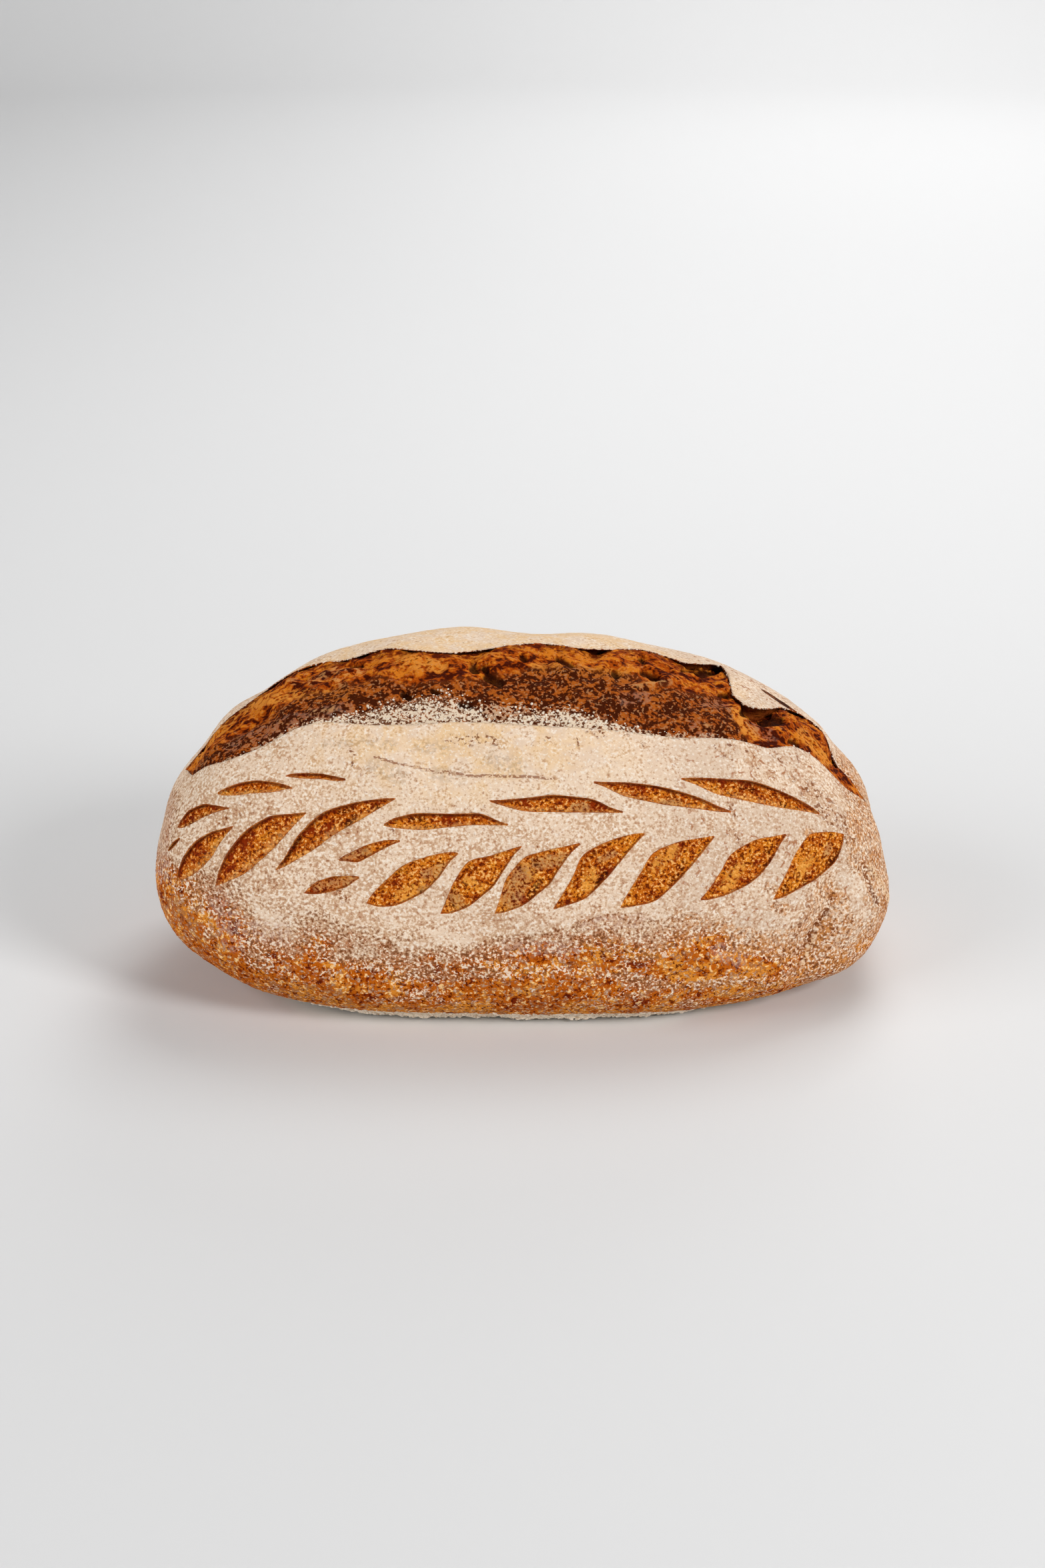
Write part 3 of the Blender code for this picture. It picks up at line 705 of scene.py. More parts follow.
# Marks of the bake on the crust, each a soft stroke on the scoring plane: where it begins and
# ends and how wide it is, in mm. They stand for hollows and skins of torn dough, for flour that
# lies in puffs, is worn off or is a film, and for holes and pale skins in the leaves. The hollows
# and holes are sunk and also painted dark as painted shade; the ridges carry a painted highlight
# and the creases a painted shade, besides their relief.
STROKES = {
    "hollow": (
        (79, 90.7, 85.9, 88.3, 1.5), (85.8, 87.6, 92.1, 88.5, 2), (70.5, 97, 73.2, 96.6, 1.1),
        (63.6, 105.7, 68.2, 107, 2), (57.1, 106.1, 61.8, 105.9, 1), (22.7, 114, 26.8, 112.7, 1.1),
        (41.6, 109.9, 42.6, 108.8, 1), (32.1, 103.5, 33, 102.5, 1.1),
        (11.7, 108.9, 16.8, 106.2, 1.2), (42.5, 104.2, 46.8, 102.5, 1.2),
        (-18.3, 105.3, -17, 103.5, 1.3), (-14.5, 104.8, -13, 103.3, 1),
        (-12.8, 101.1, -8.3, 99.4, 1.6), (-32, 95.9, -29.9, 95, 1), (-42.1, 94.8, -40.2, 93.6, 1.2),
        (-63.3, 105.2, -59.2, 105.3, 1), (-21.9, 90.7, -18.4, 90.3, 1),
        (-1, 108.9, 0.2, 108.1, 1.2), (110.6, 76.9, 113.9, 72, 0.9), (96.3, 80.6, 98.8, 79.2, 1.1),
        (83.1, 88.7, 90, 89.6, 1.2), (76.9, 63.7, 81.5, 62.9, 1), (91.8, 57.6, 92.8, 56.7, 1),
        (85.7, 40.7, 87.1, 40.5, 1), (-63.6, 52.3, -58.7, 53.3, 0.9),
        (-50.3, 54.2, -49.4, 53.7, 1.2), (-83.7, 33.9, -77.6, 42.9, 1.2),
        (-23.9, 21.1, -23, 19.3, 0.9), (3.7, 23.9, 6.6, 28.4, 1.5), (5.2, 35, 6.6, 34.4, 0.8),
        (27, 28.6, 30, 32.4, 1), (56.2, 33.8, 57.3, 36.7, 1), (52.5, 29.6, 55.2, 32, 1),
        (100.5, 29.7, 101.7, 32.1, 1), (92.8, 26.9, 93.4, 28.5, 1), (109.8, 36.4, 112.3, 39.7, 1.4),
        (86.1, 34.8, 88.9, 38.6, 1.1), (51.6, 59.1, 53, 59.6, 1), (-60.3, 48.2, -57.9, 50.8, 1.2),
        (-38.4, 50.2, -34, 50.6, 1), (-117.8, 48.3, -116.1, 46.9, 1),
        (-34.1, 24.9, -32.3, 24.5, 0.9),
    ),
    "pale": (
        (38.6, 97.9, 43, 99.3, 0.9), (43, 99.3, 52, 100.4, 1.1), (-63.7, 103.5, -57.2, 102.6, 1),
        (-76.5, 99.2, -69.3, 104, 1.5), (-68.2, 99.4, -63.8, 97.3, 1.2),
        (-67.7, 103.1, -63.5, 101.7, 1), (-85.2, 99.4, -82.7, 98.7, 1.2),
        (-74.3, 86.8, -66.7, 88.4, 0.9), (62.8, 84.2, 65.1, 84, 1.2),
        (-32.9, 31.2, -29.5, 32.2, 1.7), (-29.5, 31.5, -25.8, 33.4, 2),
        (-34.1, 25.4, -32, 25.9, 1.5), (-22.5, 23.5, -20.2, 19.5, 2), (6.1, 35.3, 15.4, 37.3, 2.2),
        (-3.2, 22.6, 1.3, 31.5, 3.2), (-62.5, 36.6, -52.7, 38.6, 1.5),
        (49.5, 56.5, 54.6, 57.3, 1.5), (18.8, 55.1, 22.5, 55, 1.5), (108.2, 39.7, 109.2, 42.5, 1.2),
        (-70.8, 26.2, -57.9, 28.7, 1.5), (27.9, 37, 32.4, 39.3, 1.2),
    ),
    "film": (
        (35.2, 93.2, 42.9, 94.3, 2), (80.5, 86, 88.5, 81.7, 2.2), (-104.5, 75.6, -83.4, 83.4, 2.5),
        (-83.5, 84.1, -61.9, 88.9, 2.2), (64.9, 92.9, 72.1, 91.4, 2), (59.9, 85.3, 64.6, 81.9, 2),
        (-68.6, 76, -56.4, 77.1, 1.7), (-55.2, 77.1, -45.1, 76, 1.7),
        (-35.3, 75.5, -27.1, 75.1, 2.2), (-9.7, 71.1, -1.5, 68.9, 3.4),
        (-51.3, 68.3, -41.9, 64.9, 2.9), (-29.2, 66.2, -21.1, 65.2, 2.5),
    ),
    "golden": (
        (3.2, 104.9, 19.7, 103.7, 1.7), (19.7, 104.2, 36.3, 102.1, 1.7),
        (-119.2, 73.1, -105.4, 90.1, 2.2), (-105.4, 90.1, -85.3, 93.7, 2.2),
        (-85.3, 93.7, -62.4, 94.3, 2), (74.4, 89, 80.3, 82.4, 2.7),
        (-44.5, 106.9, -29.8, 104.4, 2.2), (-10, 84.7, -1.8, 84.4, 1.7),
        (100.9, 83.4, 109.2, 73.8, 2.2), (77, 90.1, 81.9, 89.4, 1.5), (2, 34.3, 4.8, 30.8, 1.5),
        (4.8, 32, 6.2, 27.4, 1.2), (-32.2, 28, -41.6, 23.2, 2), (-18.4, 29.3, -13.7, 27.1, 1.2),
        (47.5, 34.9, 53.2, 40.8, 2), (25.6, 32.3, 23.3, 27.6, 2), (76.8, 35.2, 72.2, 28.2, 2),
        (102, 37.8, 98.4, 33, 1.7), (-25.6, 22, -25, 18.5, 0.8), (-21.9, 21.6, -21.7, 18.5, 0.8),
    ),
    "puff": (
        (-13.8, -3.7, 23.7, -1.9, 2.5), (23.7, -2.6, 54.3, -7.2, 1.6),
        (54.3, -7.2, 78.1, -6.2, 1.6), (80.5, -6.3, 104, -4.8, 2.8), (95, 18.3, 98, 17.4, 2.2),
        (116.6, 30.2, 119.9, 27.7, 3.2), (120.1, 21.9, 123, 18.9, 2.2),
        (-88.8, 15, -86.1, 12.8, 3.6), (-85.3, 23.6, -81.5, 21.3, 3.2),
        (-94.4, 0, -90.5, -1.8, 2.8), (39.7, 20.8, 51.3, 19.5, 2), (-41.8, 5.5, -18.4, 8.3, 1.4),
        (-32.3, 11.5, -13.7, 10.2, 2), (-70, 1.5, -50, 2.5, 1.8),
    ),
    "bare": (
        (90.1, 21.2, 93, 20.3, 1.8), (108.5, 15.3, 111.6, 13.8, 2.2), (82.6, 0.6, 90, -0.4, 2.4),
        (63.3, 9.2, 70.3, 8.8, 2.4), (-119.6, 14.1, -116.5, 12.2, 3.6),
        (-126.9, 18, -124, 15.3, 2.8), (-65, 25.1, -60.3, 22.9, 1.5),
        (109.8, 27.1, 111.7, 24.7, 1.3), (101.9, 47.2, 106.9, 41.3, 1.8),
        (131.2, 15.5, 132.5, 24.1, 2.2), (122.9, 6, 130.2, 10.6, 2.4),
        (86.5, 28.3, 90.1, 26.9, 1.3),
    ),
    "ridge": (
        (100.6, -0.6, 103.4, 7.2, 0.8), (103.4, 7.2, 105.2, 11, 0.6),
        (125.2, 35.1, 129.8, 29.4, 0.9), (129.8, 29.4, 133.4, 23.2, 0.9),
    ),
    "crease": (
        (110.6, 25.7, 109.5, 20.2, 0.7), (109.5, 20.2, 104.1, 12.7, 0.8),
        (104.1, 12.7, 101.2, 6.7, 0.8), (122.4, 36.4, 125.3, 28.1, 0.9),
        (125.3, 28.1, 129, 21.5, 0.9),
    ),
    "lilac": (
        (-105.8, 20.8, -101.4, 6.5, 4.4), (-98.7, 11.5, -84.3, 9.4, 3.9),
        (-4.4, 6.1, 18.9, 5.3, 2.5), (70.4, 5.6, 77.7, 2.1, 2.9), (23.5, 14.8, 42.1, 16.1, 2.5),
        (-130, 30, -128, 55, 4),
    ),
    "worn": (
        (-24.9, 78.4, -19.1, 77.6, 1.7), (-19.1, 77.8, -12.7, 78.8, 2.2), (-12.7, 79, -7, 77, 1.7),
        (-59.3, 73.5, -57.4, 73.1, 1.1), (-59.1, 69.8, -58.4, 68.2, 1.1),
        (-54.3, 67.1, -53.6, 65.9, 1), (23.7, 81.7, 27.9, 81.1, 1.5), (19.8, 79.3, 20.3, 76.7, 1.1),
        (8.9, 78.7, 10.1, 78.4, 1.1), (35.1, 80.7, 36.5, 80.3, 1.1), (57.6, 79.5, 58.9, 79.1, 1),
        (41.6, 77.1, 43.5, 76.4, 1.2), (67.5, 77.4, 69.8, 76, 1), (70.1, 75.3, 73.6, 73, 0.9),
        (73, 78, 75.6, 76.2, 1.2), (78.9, 75.6, 81.8, 74.5, 1), (78.6, 73.4, 83, 70.4, 1.2),
        (87.5, 68.4, 88.7, 67.5, 1.1), (89.1, 75.2, 91.6, 73.1, 1.1), (94.6, 68.1, 96.1, 66.2, 1),
        (73.5, 47.3, 76.6, 44.1, 1.7), (72.9, 57.1, 75.1, 52.9, 1.2), (102, 62.6, 113.8, 50.9, 3.6),
        (106.9, 55.6, 117.2, 44.5, 2.6), (-44, 47.6, -42.8, 45.2, 1), (102.6, 20, 98, 11.6, 2),
        (107.9, 11.5, 104.9, 6.7, 2),
    ),
}

# Flour lies thick above one line that runs round the loaf and is gone below another, and there
# is a crumbly rim of it where the dough met the stone. Below the ear it was blown onto the torn
# dough, thick to one share of its width and sparse to another, and it toasted to a third. These
# three give shares at x in mm.
THICK_FLOUR = np.array((
    (-134, 40), (-114.5, 32.4), (-103.1, 32.6), (-92.4, 19.2), (-81.7, 13.1), (-70.9, 20.3),
    (-60.3, 15.1), (-39.4, 13.1), (-28.8, 14.7), (-18.4, 10.6), (2.6, 11.6), (13, 14.7), (23.5, 16),
    (33.9, 20.3), (44.3, 19.1), (54.7, 21.5), (65.4, 19.2), (76.1, 15.9), (86.9, 14), (97.7, 16.4),
    (108.9, 18.7), (120.9, 12.4), (134, 20),
)) / 1000
NO_FLOUR = np.array((
    (-134, 23), (-123.7, 21.3), (-115.1, 12.1), (-104.1, 2.9), (-93.4, -4.1), (-82.4, -4.9),
    (-71.4, 0.2), (-60.9, -3.3), (-50.2, -3.1), (-39.7, -6.5), (-29.1, -5.1), (-18.5, -2.5),
    (-7.9, 3.6), (13.1, 4.2), (23.6, 6.4), (34.1, 3), (44.6, 1), (55, 7), (65.5, 7.6), (76.3, 5.6),
    (87.2, 3), (98.2, 1), (110.2, -10), (134, -14),
)) / 1000
STONE_RIM = 0.0022
STONE_RIM_RISE = 0.0028
DUST_REACH = (
    (-125, 0.01), (-85, 0.02), (-70, 0.05), (-58, 0.12), (-46, 0.22), (-30, 0.25), (-18, 0.2),
    (-12, 0.05), (-6, 0.06), (2, 0.14), (14, 0.16), (22, 0.12), (34, 0.06), (50, 0.02), (125, 0.01),
)
SPRINKLE_REACH = (
    (-125, 0.05), (-75, 0.08), (-60, 0.12), (-48, 0.22), (-30, 0.29), (-16, 0.26), (2, 0.3),
    (14, 0.26), (24, 0.14), (36, 0.07), (125, 0.03),
)
TOAST_REACH = (
    (-125, 0.24), (-100, 0.3), (-75, 0.36), (-60, 0.46), (-45, 0.46), (-30, 0.42), (-18, 0.44),
    (-8, 0.54), (2, 0.6), (20, 0.62), (35, 0.56), (45, 0.4), (56, 0.45), (68, 0.45), (80, 0.12),
    (92, -0.12), (125, -0.15),
)


def stroked(rows, x, t):
    """How strongly each (x, t) is marked by a set of strokes."""
    strongest = np.zeros(len(x))
    for x1, t1, x2, t2, width in rows:
        off = away_from(((x1, t1), (x2, t2)), x * 1000, t * 1000)
        strongest = np.maximum(strongest, 1 - smooth_step(off, 0.3 * width, 1.8 * width))
    return strongest


x, t = scoring_plane(skin_points)
rise = skin_points[:, 2] * math.cos(SCORING_TILT) - abs(skin_points[:, 1]) * math.sin(SCORING_TILT)
no_flour = line_at(NO_FLOUR, x)
flour = np.clip((rise - no_flour) / (line_at(THICK_FLOUR, x) - no_flour), -0.6, 1.4)
at_front = smooth_step(-skin_facing @ BLADE, 0, 0.2)
left_end = smooth_step(-x, 0.1, 0.128)
bare_step = smooth_step(x, 0.108, 0.12) * bell(behind_fold(skin_points) - 0.008, 0.009)
flour = flour - 0.2 * left_end - 0.8 * bare_step
rim_height = STONE_RIM + STONE_RIM_RISE * lip_place
stone_rim = smooth_step(rim_height - skin_points[:, 2], -0.0016, 0.0014)
cream = smooth_step(rise, 0.04, 0.075) * bell(x + 0.02, 0.06)
cream = np.maximum(cream, smooth_step(rise, 0.085, 0.105) * (skin_points[:, 1] > -0.02))
from_lower = leaf_side * leaf_width
from_upper = (1 - leaf_side) * leaf_width
crumb = smooth_step(np.minimum(from_lower, from_upper), 0.0002, 0.001) * in_leaf
in_lower_row = leaf_number > len(LEFT_EAR) + UPPER_LEAVES
# Painted shade: leaf_shade darkens the crumb next to the upper wall of the upper leaves and next to
# the lower edge of the lower row.
from_shaded = np.where(in_lower_row, from_lower, 0.6 * from_upper)
leaf_shade = (1 - smooth_step(from_shaded, 0.0002, 0.0019)) * in_leaf
# Painted light: lightens the upper leaves' floors towards their lower edge.
leaf_painted_light = smooth_step(np.where(in_lower_row, 0.5, 1 - leaf_side), 0.45, 0.95) * in_leaf
tone = np.where(in_lower_row, 1, 0.25) * smooth_step(x, -0.075, -0.03) * in_leaf
skin_part = ~in_leaf
flake_share = smooth_step(skin_points[:, 2], 0.0004, 0.001) * (0.15 + 0.85 * lip_place)

torn_x, torn_across = torn_places.T
wall, floor, under, face = crown_lengths(torn_x)
torn_t = scoring_plane(torn_points)[1]
torn_lip, torn_ear = line_at(LIP_LINE, torn_x), line_at(EAR_LINE, torn_x)
reach = (torn_points[:, 1] - torn_lip) / np.maximum(torn_ear - torn_lip, 1e-4)
reach = np.where(torn_across > wall + floor, 2 - reach, reach)
on_floor = torn_across < wall + 0.9 * floor
dust = 1 - smooth_step(reach / line_at(DUST_REACH, torn_x * 1000), 0.5, 1.6)
sprinkle = 1 - smooth_step(reach / line_at(SPRINKLE_REACH, torn_x * 1000), 0.4, 1.3)
toast = 1 - smooth_step(reach - line_at(TOAST_REACH, torn_x * 1000), -0.1, 0.12)
on_face = torn_across > wall + floor + 0.98 * under
# Painted shade under the ear: marks the torn dough from just before the ear's root onwards.
painted_shade_under_ear = smooth_step(torn_across - wall - floor, -0.004, 0.001) * ~on_face
dust = np.where(on_face, 0.7, dust)
cut_edges = np.minimum(torn_across, wall + floor + under + face - torn_across)
cut_ends = np.minimum(torn_x - CUT_TIPS[0][0], CUT_TIPS[1][0] - torn_x)
torn = smooth_step(cut_edges, 0.0002, 0.0024) * smooth_step(cut_ends, 0.0005, 0.006)

# The strokes on the torn dough and on the skin, and what they and the loaf's form do to the
# flour. Then each mark's values on the skin, on the torn dough and on the base.
on_torn = {name: stroked(rows, torn_x, torn_t) * on_floor for name, rows in STROKES.items()}
on_skin = {name: stroked(rows, x, t) * at_front for name, rows in STROKES.items()}
heaped_middle = smooth_step(rise, 0.045, 0.07) * bell(x + 0.01, 0.085)
low_right = smooth_step(x, 0.094, 0.112) * smooth_step(-t, -0.04, -0.025)
right_end = smooth_step(x, 0.112, 0.122) * smooth_step(t, 0.025, 0.04)
left_side = smooth_step(-x, 0.04, 0.09)
flour = np.clip(flour, -0.4, 1) + 0.3 * heaped_middle - 0.26 * low_right - 0.4 * right_end
thin_left = left_side * (1 - smooth_step(flour, 0.4, 0.95))
flour = flour - 0.1 * left_side - 0.22 * thin_left
flour = flour + 0.45 * on_skin["puff"] * (flour < 0.9)
flour = flour - 0.45 * on_skin["bare"] - 0.3 * on_skin["lilac"] * (flour > 0.8)
dusty = smooth_step(flour, -0.25, 0.15) * (1 - smooth_step(flour, 0.7, 1.05))
low = smooth_step(-skin_points[:, 2], -0.016, -0.007) * lip_place
crust_marks = {
    "flour": (flour * skin_part, dust, 1),
    "sprinkle": (0, sprinkle, 0),
    "cream": (cream, 0, 0),
    "rim": (stone_rim, 0, 1),
    "tone": (tone, 0, 0),
    "gold": (np.maximum(smooth_step(x, 0.02, 0.08), low) * skin_part, 0, 0),
    "dusty": (dusty * skin_part, 0, 0),
    "crumb": (crumb, 0, 0),
    "leaf_shade": (leaf_shade, 0, 0),
    "leaf_painted_light": (leaf_painted_light, 0, 0),
    "lilac": (on_skin["lilac"] * skin_part, 0, 0),
    # The hollows are sunk in the relief and also painted dark as painted shade.
    "hollow": (on_skin["hollow"] * in_leaf, on_torn["hollow"] * torn, 0),
    "pale": (on_skin["pale"] * in_leaf, on_torn["pale"], 0),
    "golden": (on_skin["golden"] * in_leaf, on_torn["golden"], 0),
    "film": (on_skin["film"] * skin_part, on_torn["film"], 0),
    "worn": (on_skin["worn"] * skin_part, 0, 0),
    "ridge": (on_skin["ridge"] * skin_part, 0, 0),
    "crease": (on_skin["crease"] * skin_part, 0, 0),
    "crack": (crack, 0, 0),
    "split": (split, 0, 0),
    "torn": (0, torn, 0),
    "toast": (0, toast, 0),
    "torn_share": (0, np.where(on_face, 0.5, np.clip(reach, 0, 1.5)), 0),
    "painted_shade_under_ear": (0, painted_shade_under_ear, 0),
    "blistered": (np.clip(1 - flour, 0, 1) * skin_part * (1 - stone_rim), 0, 0),
    "skin": (skin_part, 0, 0),
    "loose": (0, (0.75 * dust + 0.25 * sprinkle**2) * (reach > 0.02), 0),
    "flakes": (stone_rim * flake_share, 0, 0),
}
skin_region = np.where(in_leaf[skin_faces].any(1), 2, 0)
regions = np.concatenate([skin_region, np.full(len(torn_faces), 1), np.full(len(base_faces), 3)])
loaf_mesh = bpy.data.meshes.new("sourdough_loaf")
vertices = (vertices - FOOTPRINT_MIDDLE).tolist()
loaf_mesh.from_pydata(vertices, [], np.concatenate(patches).tolist())
loaf_mesh.shade_smooth()
sheet_counts = (len(skin_points), len(torn_points), len(base_points))
for name, parts in crust_marks.items():
    values = [np.broadcast_to(part, size) for part, size in zip(parts, sheet_counts)]
    mark = loaf_mesh.attributes.new(name, "FLOAT", "POINT")
    mark.data.foreach_set("value", np.concatenate(values).astype(float))
region_mark = loaf_mesh.attributes.new("region", "INT", "FACE")
region_mark.data.foreach_set("value", regions.astype(int))


def add_object(name, data):
    """A new object with its data, in the scene."""
    made = bpy.data.objects.new(name, data)
    bpy.context.scene.collection.objects.link(made)
    return made


loaf = add_object("sourdough_loaf", loaf_mesh)


def linear(hex_colour):
    """A linear colour from an sRGB hex value."""
    parts = [int(hex_colour[k:k + 2], 16) / 255 for k in (1, 3, 5)]
    return (*[p / 12.92 if p <= 0.04045 else ((p + 0.055) / 1.055) ** 2.4 for p in parts], 1)


def add_node(tree, kind, sockets=None, **settings):
    """Adds a node with its settings; a socket takes a value, or a link from a node or socket."""
    node = tree.nodes.new(kind)
    for name, value in settings.items():
        setattr(node, name, value)
    for key, value in (sockets or {}).items():
        if isinstance(value, bpy.types.Node):
            value = next(socket for socket in value.outputs if socket.enabled)
        if isinstance(value, bpy.types.NodeSocket):
            tree.links.new(value, node.inputs[key])
        else:
            node.inputs[key].default_value = value
    return node


def baked_finish(name, patterns, sums, layers, heights, roughness, specular):
    """A crust's material, from patterns and marks, colours over each other, and fine relief.

    A pattern is the size of its lumps in mm, its detail, its warp and its scale along the loaf.
    A layer is a colour, its greatest share, and ramps that hold it back, each a pattern, sum or
    mark with the value where it begins and the one where it is full.
    """
    material = bpy.data.materials.new(name)
    material.use_nodes = True
    tree = material.node_tree
    tree.nodes.clear()
    place = add_node(tree, "ShaderNodeTexCoord").outputs["Object"]
    values = {}
    for what, (size, detail, warp, along) in patterns.items():
        stretched = {0: place, 1: (along, 1, 1)}
        stretched = add_node(tree, "ShaderNodeVectorMath", stretched, operation="MULTIPLY")
        values[what] = add_node(tree, "ShaderNodeTexNoise", {
            "Vector": stretched, "Scale": 1000 / size, "Detail": detail, "Roughness": 0.65,
            "Distortion": warp,
        })
    used = [what for terms in sums.values() for what, weight in terms]
    used += [what for layer in layers[1:] for what, start, full in layer[2:]]
    for what in crust_marks:
        if what in used:
            mark = add_node(tree, "ShaderNodeAttribute", attribute_name=what)
            values[what] = mark.outputs["Fac"]
    for what, terms in {**sums, "height": heights}.items():
        total = 0
        for part, weight in terms:
            total = {0: values[part], 1: weight, 2: total}
            total = add_node(tree, "ShaderNodeMath", total, operation="MULTIPLY_ADD")
        values[what] = total
    colour = linear(layers[0])
    for hex_colour, share, *ramps in layers[1:]:
        for what, start, full in ramps:
            share = add_node(tree, "ShaderNodeMapRange", {
                "Value": values[what], "From Min": start, "From Max": full, "To Max": share,
            }, interpolation_type="SMOOTHSTEP")
        colour = {0: share, 6: colour, 7: linear(hex_colour)}
        colour = add_node(tree, "ShaderNodeMix", colour, data_type="RGBA")
    bump = {"Strength": 1, "Distance": 0.001, "Height": values["height"]}
    shader = add_node(tree, "ShaderNodeBsdfPrincipled", {
        "Base Color": colour, "Roughness": roughness, "Specular IOR Level": specular,
        "Normal": add_node(tree, "ShaderNodeBump", bump),
    })
    add_node(tree, "ShaderNodeOutputMaterial", {"Surface": shader})
    return material


# Floured crust: flour baked onto browned skin, matt, cream where it is thick, pinkish where it
# is a film, and worn to specks of brown. Its grains, near 0.3 mm, are drawn at 0.5 mm. Pale
# specks on the bare blisters are painted highlights, the ridges at the right end carry a painted
# highlight, and the creases and the split's core are painted shade.
floured_crust = baked_finish(
    "floured_crust",
    {"grain": (1, 1, 0, 1), "speck": (1.5, 1.5, 0.2, 1), "mottle": (4.4, 2.5, 0.2, 1),
     "cloud": (17, 2, 0, 1), "patch": (8, 2, 0.4, 0.7), "smear": (9, 3, 0.6, 1),
     "crumbs": (1.7, 2, 0.4, 1), "drift": (9, 2, 0.3, 0.35), "fleck": (2.8, 1.5, 0.8, 1)},
    {"cover": (("grain", 0.85), ("speck", 0.5), ("mottle", 0.55), ("cloud", 0.2),
               ("flour", 0.42), ("worn", -0.08)),
     "dusted": (("drift", 1.6), ("mottle", 0.3), ("grain", 0.35), ("flour", 0.5)),
     "dapple": (("grain", 1.25), ("speck", 0.3), ("mottle", 0.4), ("smear", 0.4),
                ("flour", 0.16), ("cream", 0.12), ("worn", -0.06)),
     "rubbed": (("speck", 1), ("mottle", 0.5), ("flour", -0.12), ("worn", 0.12)),
     "browning": (("patch", 1), ("mottle", 0.6), ("crumbs", 0.45), ("gold", 0.12)),
     "bright": (("crumbs", 0.95), ("grain", 0.4), ("mottle", 0.3)),
     "crumbly": (("rim", 0.6), ("speck", 0.8), ("mottle", 0.9))},
    ["#7C2602",
     ("#BC5C0A", 1, ("browning", 0.82, 0.93)),
     ("#E08E30", 0.9, ("browning", 1.03, 1.15)),
     # Painted highlights: pale specks on the tops of the bare blisters, standing in for gloss.
     ("#FFD494", 0.9, ("bright", 0.9, 0.97)),
     ("#5A1600", 0.9, ("bright", 0.76, 0.68)),
     ("#B47C52", 0.65, ("dusted", 1.09, 1.23)),
     ("#6A2C0C", 0.85, ("grain", 0.46, 0.39), ("dusted", 1.02, 1.18)),
     ("#FBE0C4", 0.95, ("grain", 0.54, 0.6), ("dusted", 1.02, 1.18)),
     ("#FFECD0", 0.95, ("speck", 0.58, 0.64), ("grain", 0.44, 0.54)),
     ("#BC8058", 0.8, ("cover", 1.09, 1.19)),
     ("#CDA683", 1, ("cover", 1.19, 1.32)),
     ("#F0D8BF", 0.95, ("cover", 1.33, 1.54)),
     ("#EBC084", 0.6, ("cream", 0.1, 1), ("smear", 0.36, 0.6)),
     ("#DDBEA2", 0.4, ("mottle", 0.48, 0.62), ("cover", 1.12, 1.3)),
     ("#CFB49C", 0.45, ("gold", 0.1, 0.9), ("cloud", 0.4, 0.56), ("cover", 1.12, 1.3)),
     ("#C9A285", 0.6, ("dapple", 1.29, 1.11), ("cover", 1.08, 1.2)),
     ("#A06C48", 0.7, ("dapple", 1.11, 0.97), ("cover", 1.04, 1.14)),
     ("#9E623C", 0.7, ("rubbed", 0.8, 0.9)),
     ("#A8683C", 0.8, ("fleck", 0.6, 0.68), ("gold", 0.2, 0.9), ("cover", 1.1, 1.24)),
     ("#FFF8EE", 0.45, ("grain", 0.59, 0.66), ("cover", 1.1, 1.24)),
     ("#80502E", 0.75, ("grain", 0.45, 0.37), ("dusty", 0.1, 0.9)),
     ("#D8924E", 0.45, ("gold", 0.2, 0.9), ("dusty", 0.2, 0.9), ("crumbs", 0.46, 0.58)),
     ("#F6E0C8", 0.75, ("grain", 0.56, 0.63), ("dusty", 0.1, 0.9)),
     ("#C8A496", 0.3, ("lilac", 0.1, 1), ("speck", 0.42, 0.56)),
     ("#A08468", 0.3, ("film", 0.1, 1), ("speck", 0.58, 0.44)),
     ("#7E4824", 0.8, ("worn", 0.2, 1), ("speck", 0.56, 0.62)),
     # Painted highlight along the ridges of the right end, over their raised relief.
     ("#E8C49C", 0.75, ("ridge", 0.1, 0.8), ("grain", 0.4, 0.54)),
     # Painted shade in the creases of the right end, over their sunk relief.
     ("#6A3012", 0.75, ("crease", 0.2, 0.9), ("grain", 0.58, 0.46)),
     ("#FFF0D8", 1, ("crumbly", 1.1, 1.22)),
     ("#8E5228", 0.8, ("crack", 0.3, 0.75), ("grain", 0.42, 0.52)),
     ("#84441A", 0.95, ("split", 0.3, 0.7)),
     # Painted shade: the split's core is painted near black.
     ("#2E1006", 0.9, ("split", 0.3, 0.7), ("mottle", 0.6, 0.46))],
    (("grain", 0.25), ("mottle", 0.4), ("crumbs", 0.35)), 0.85, 0.05,
)
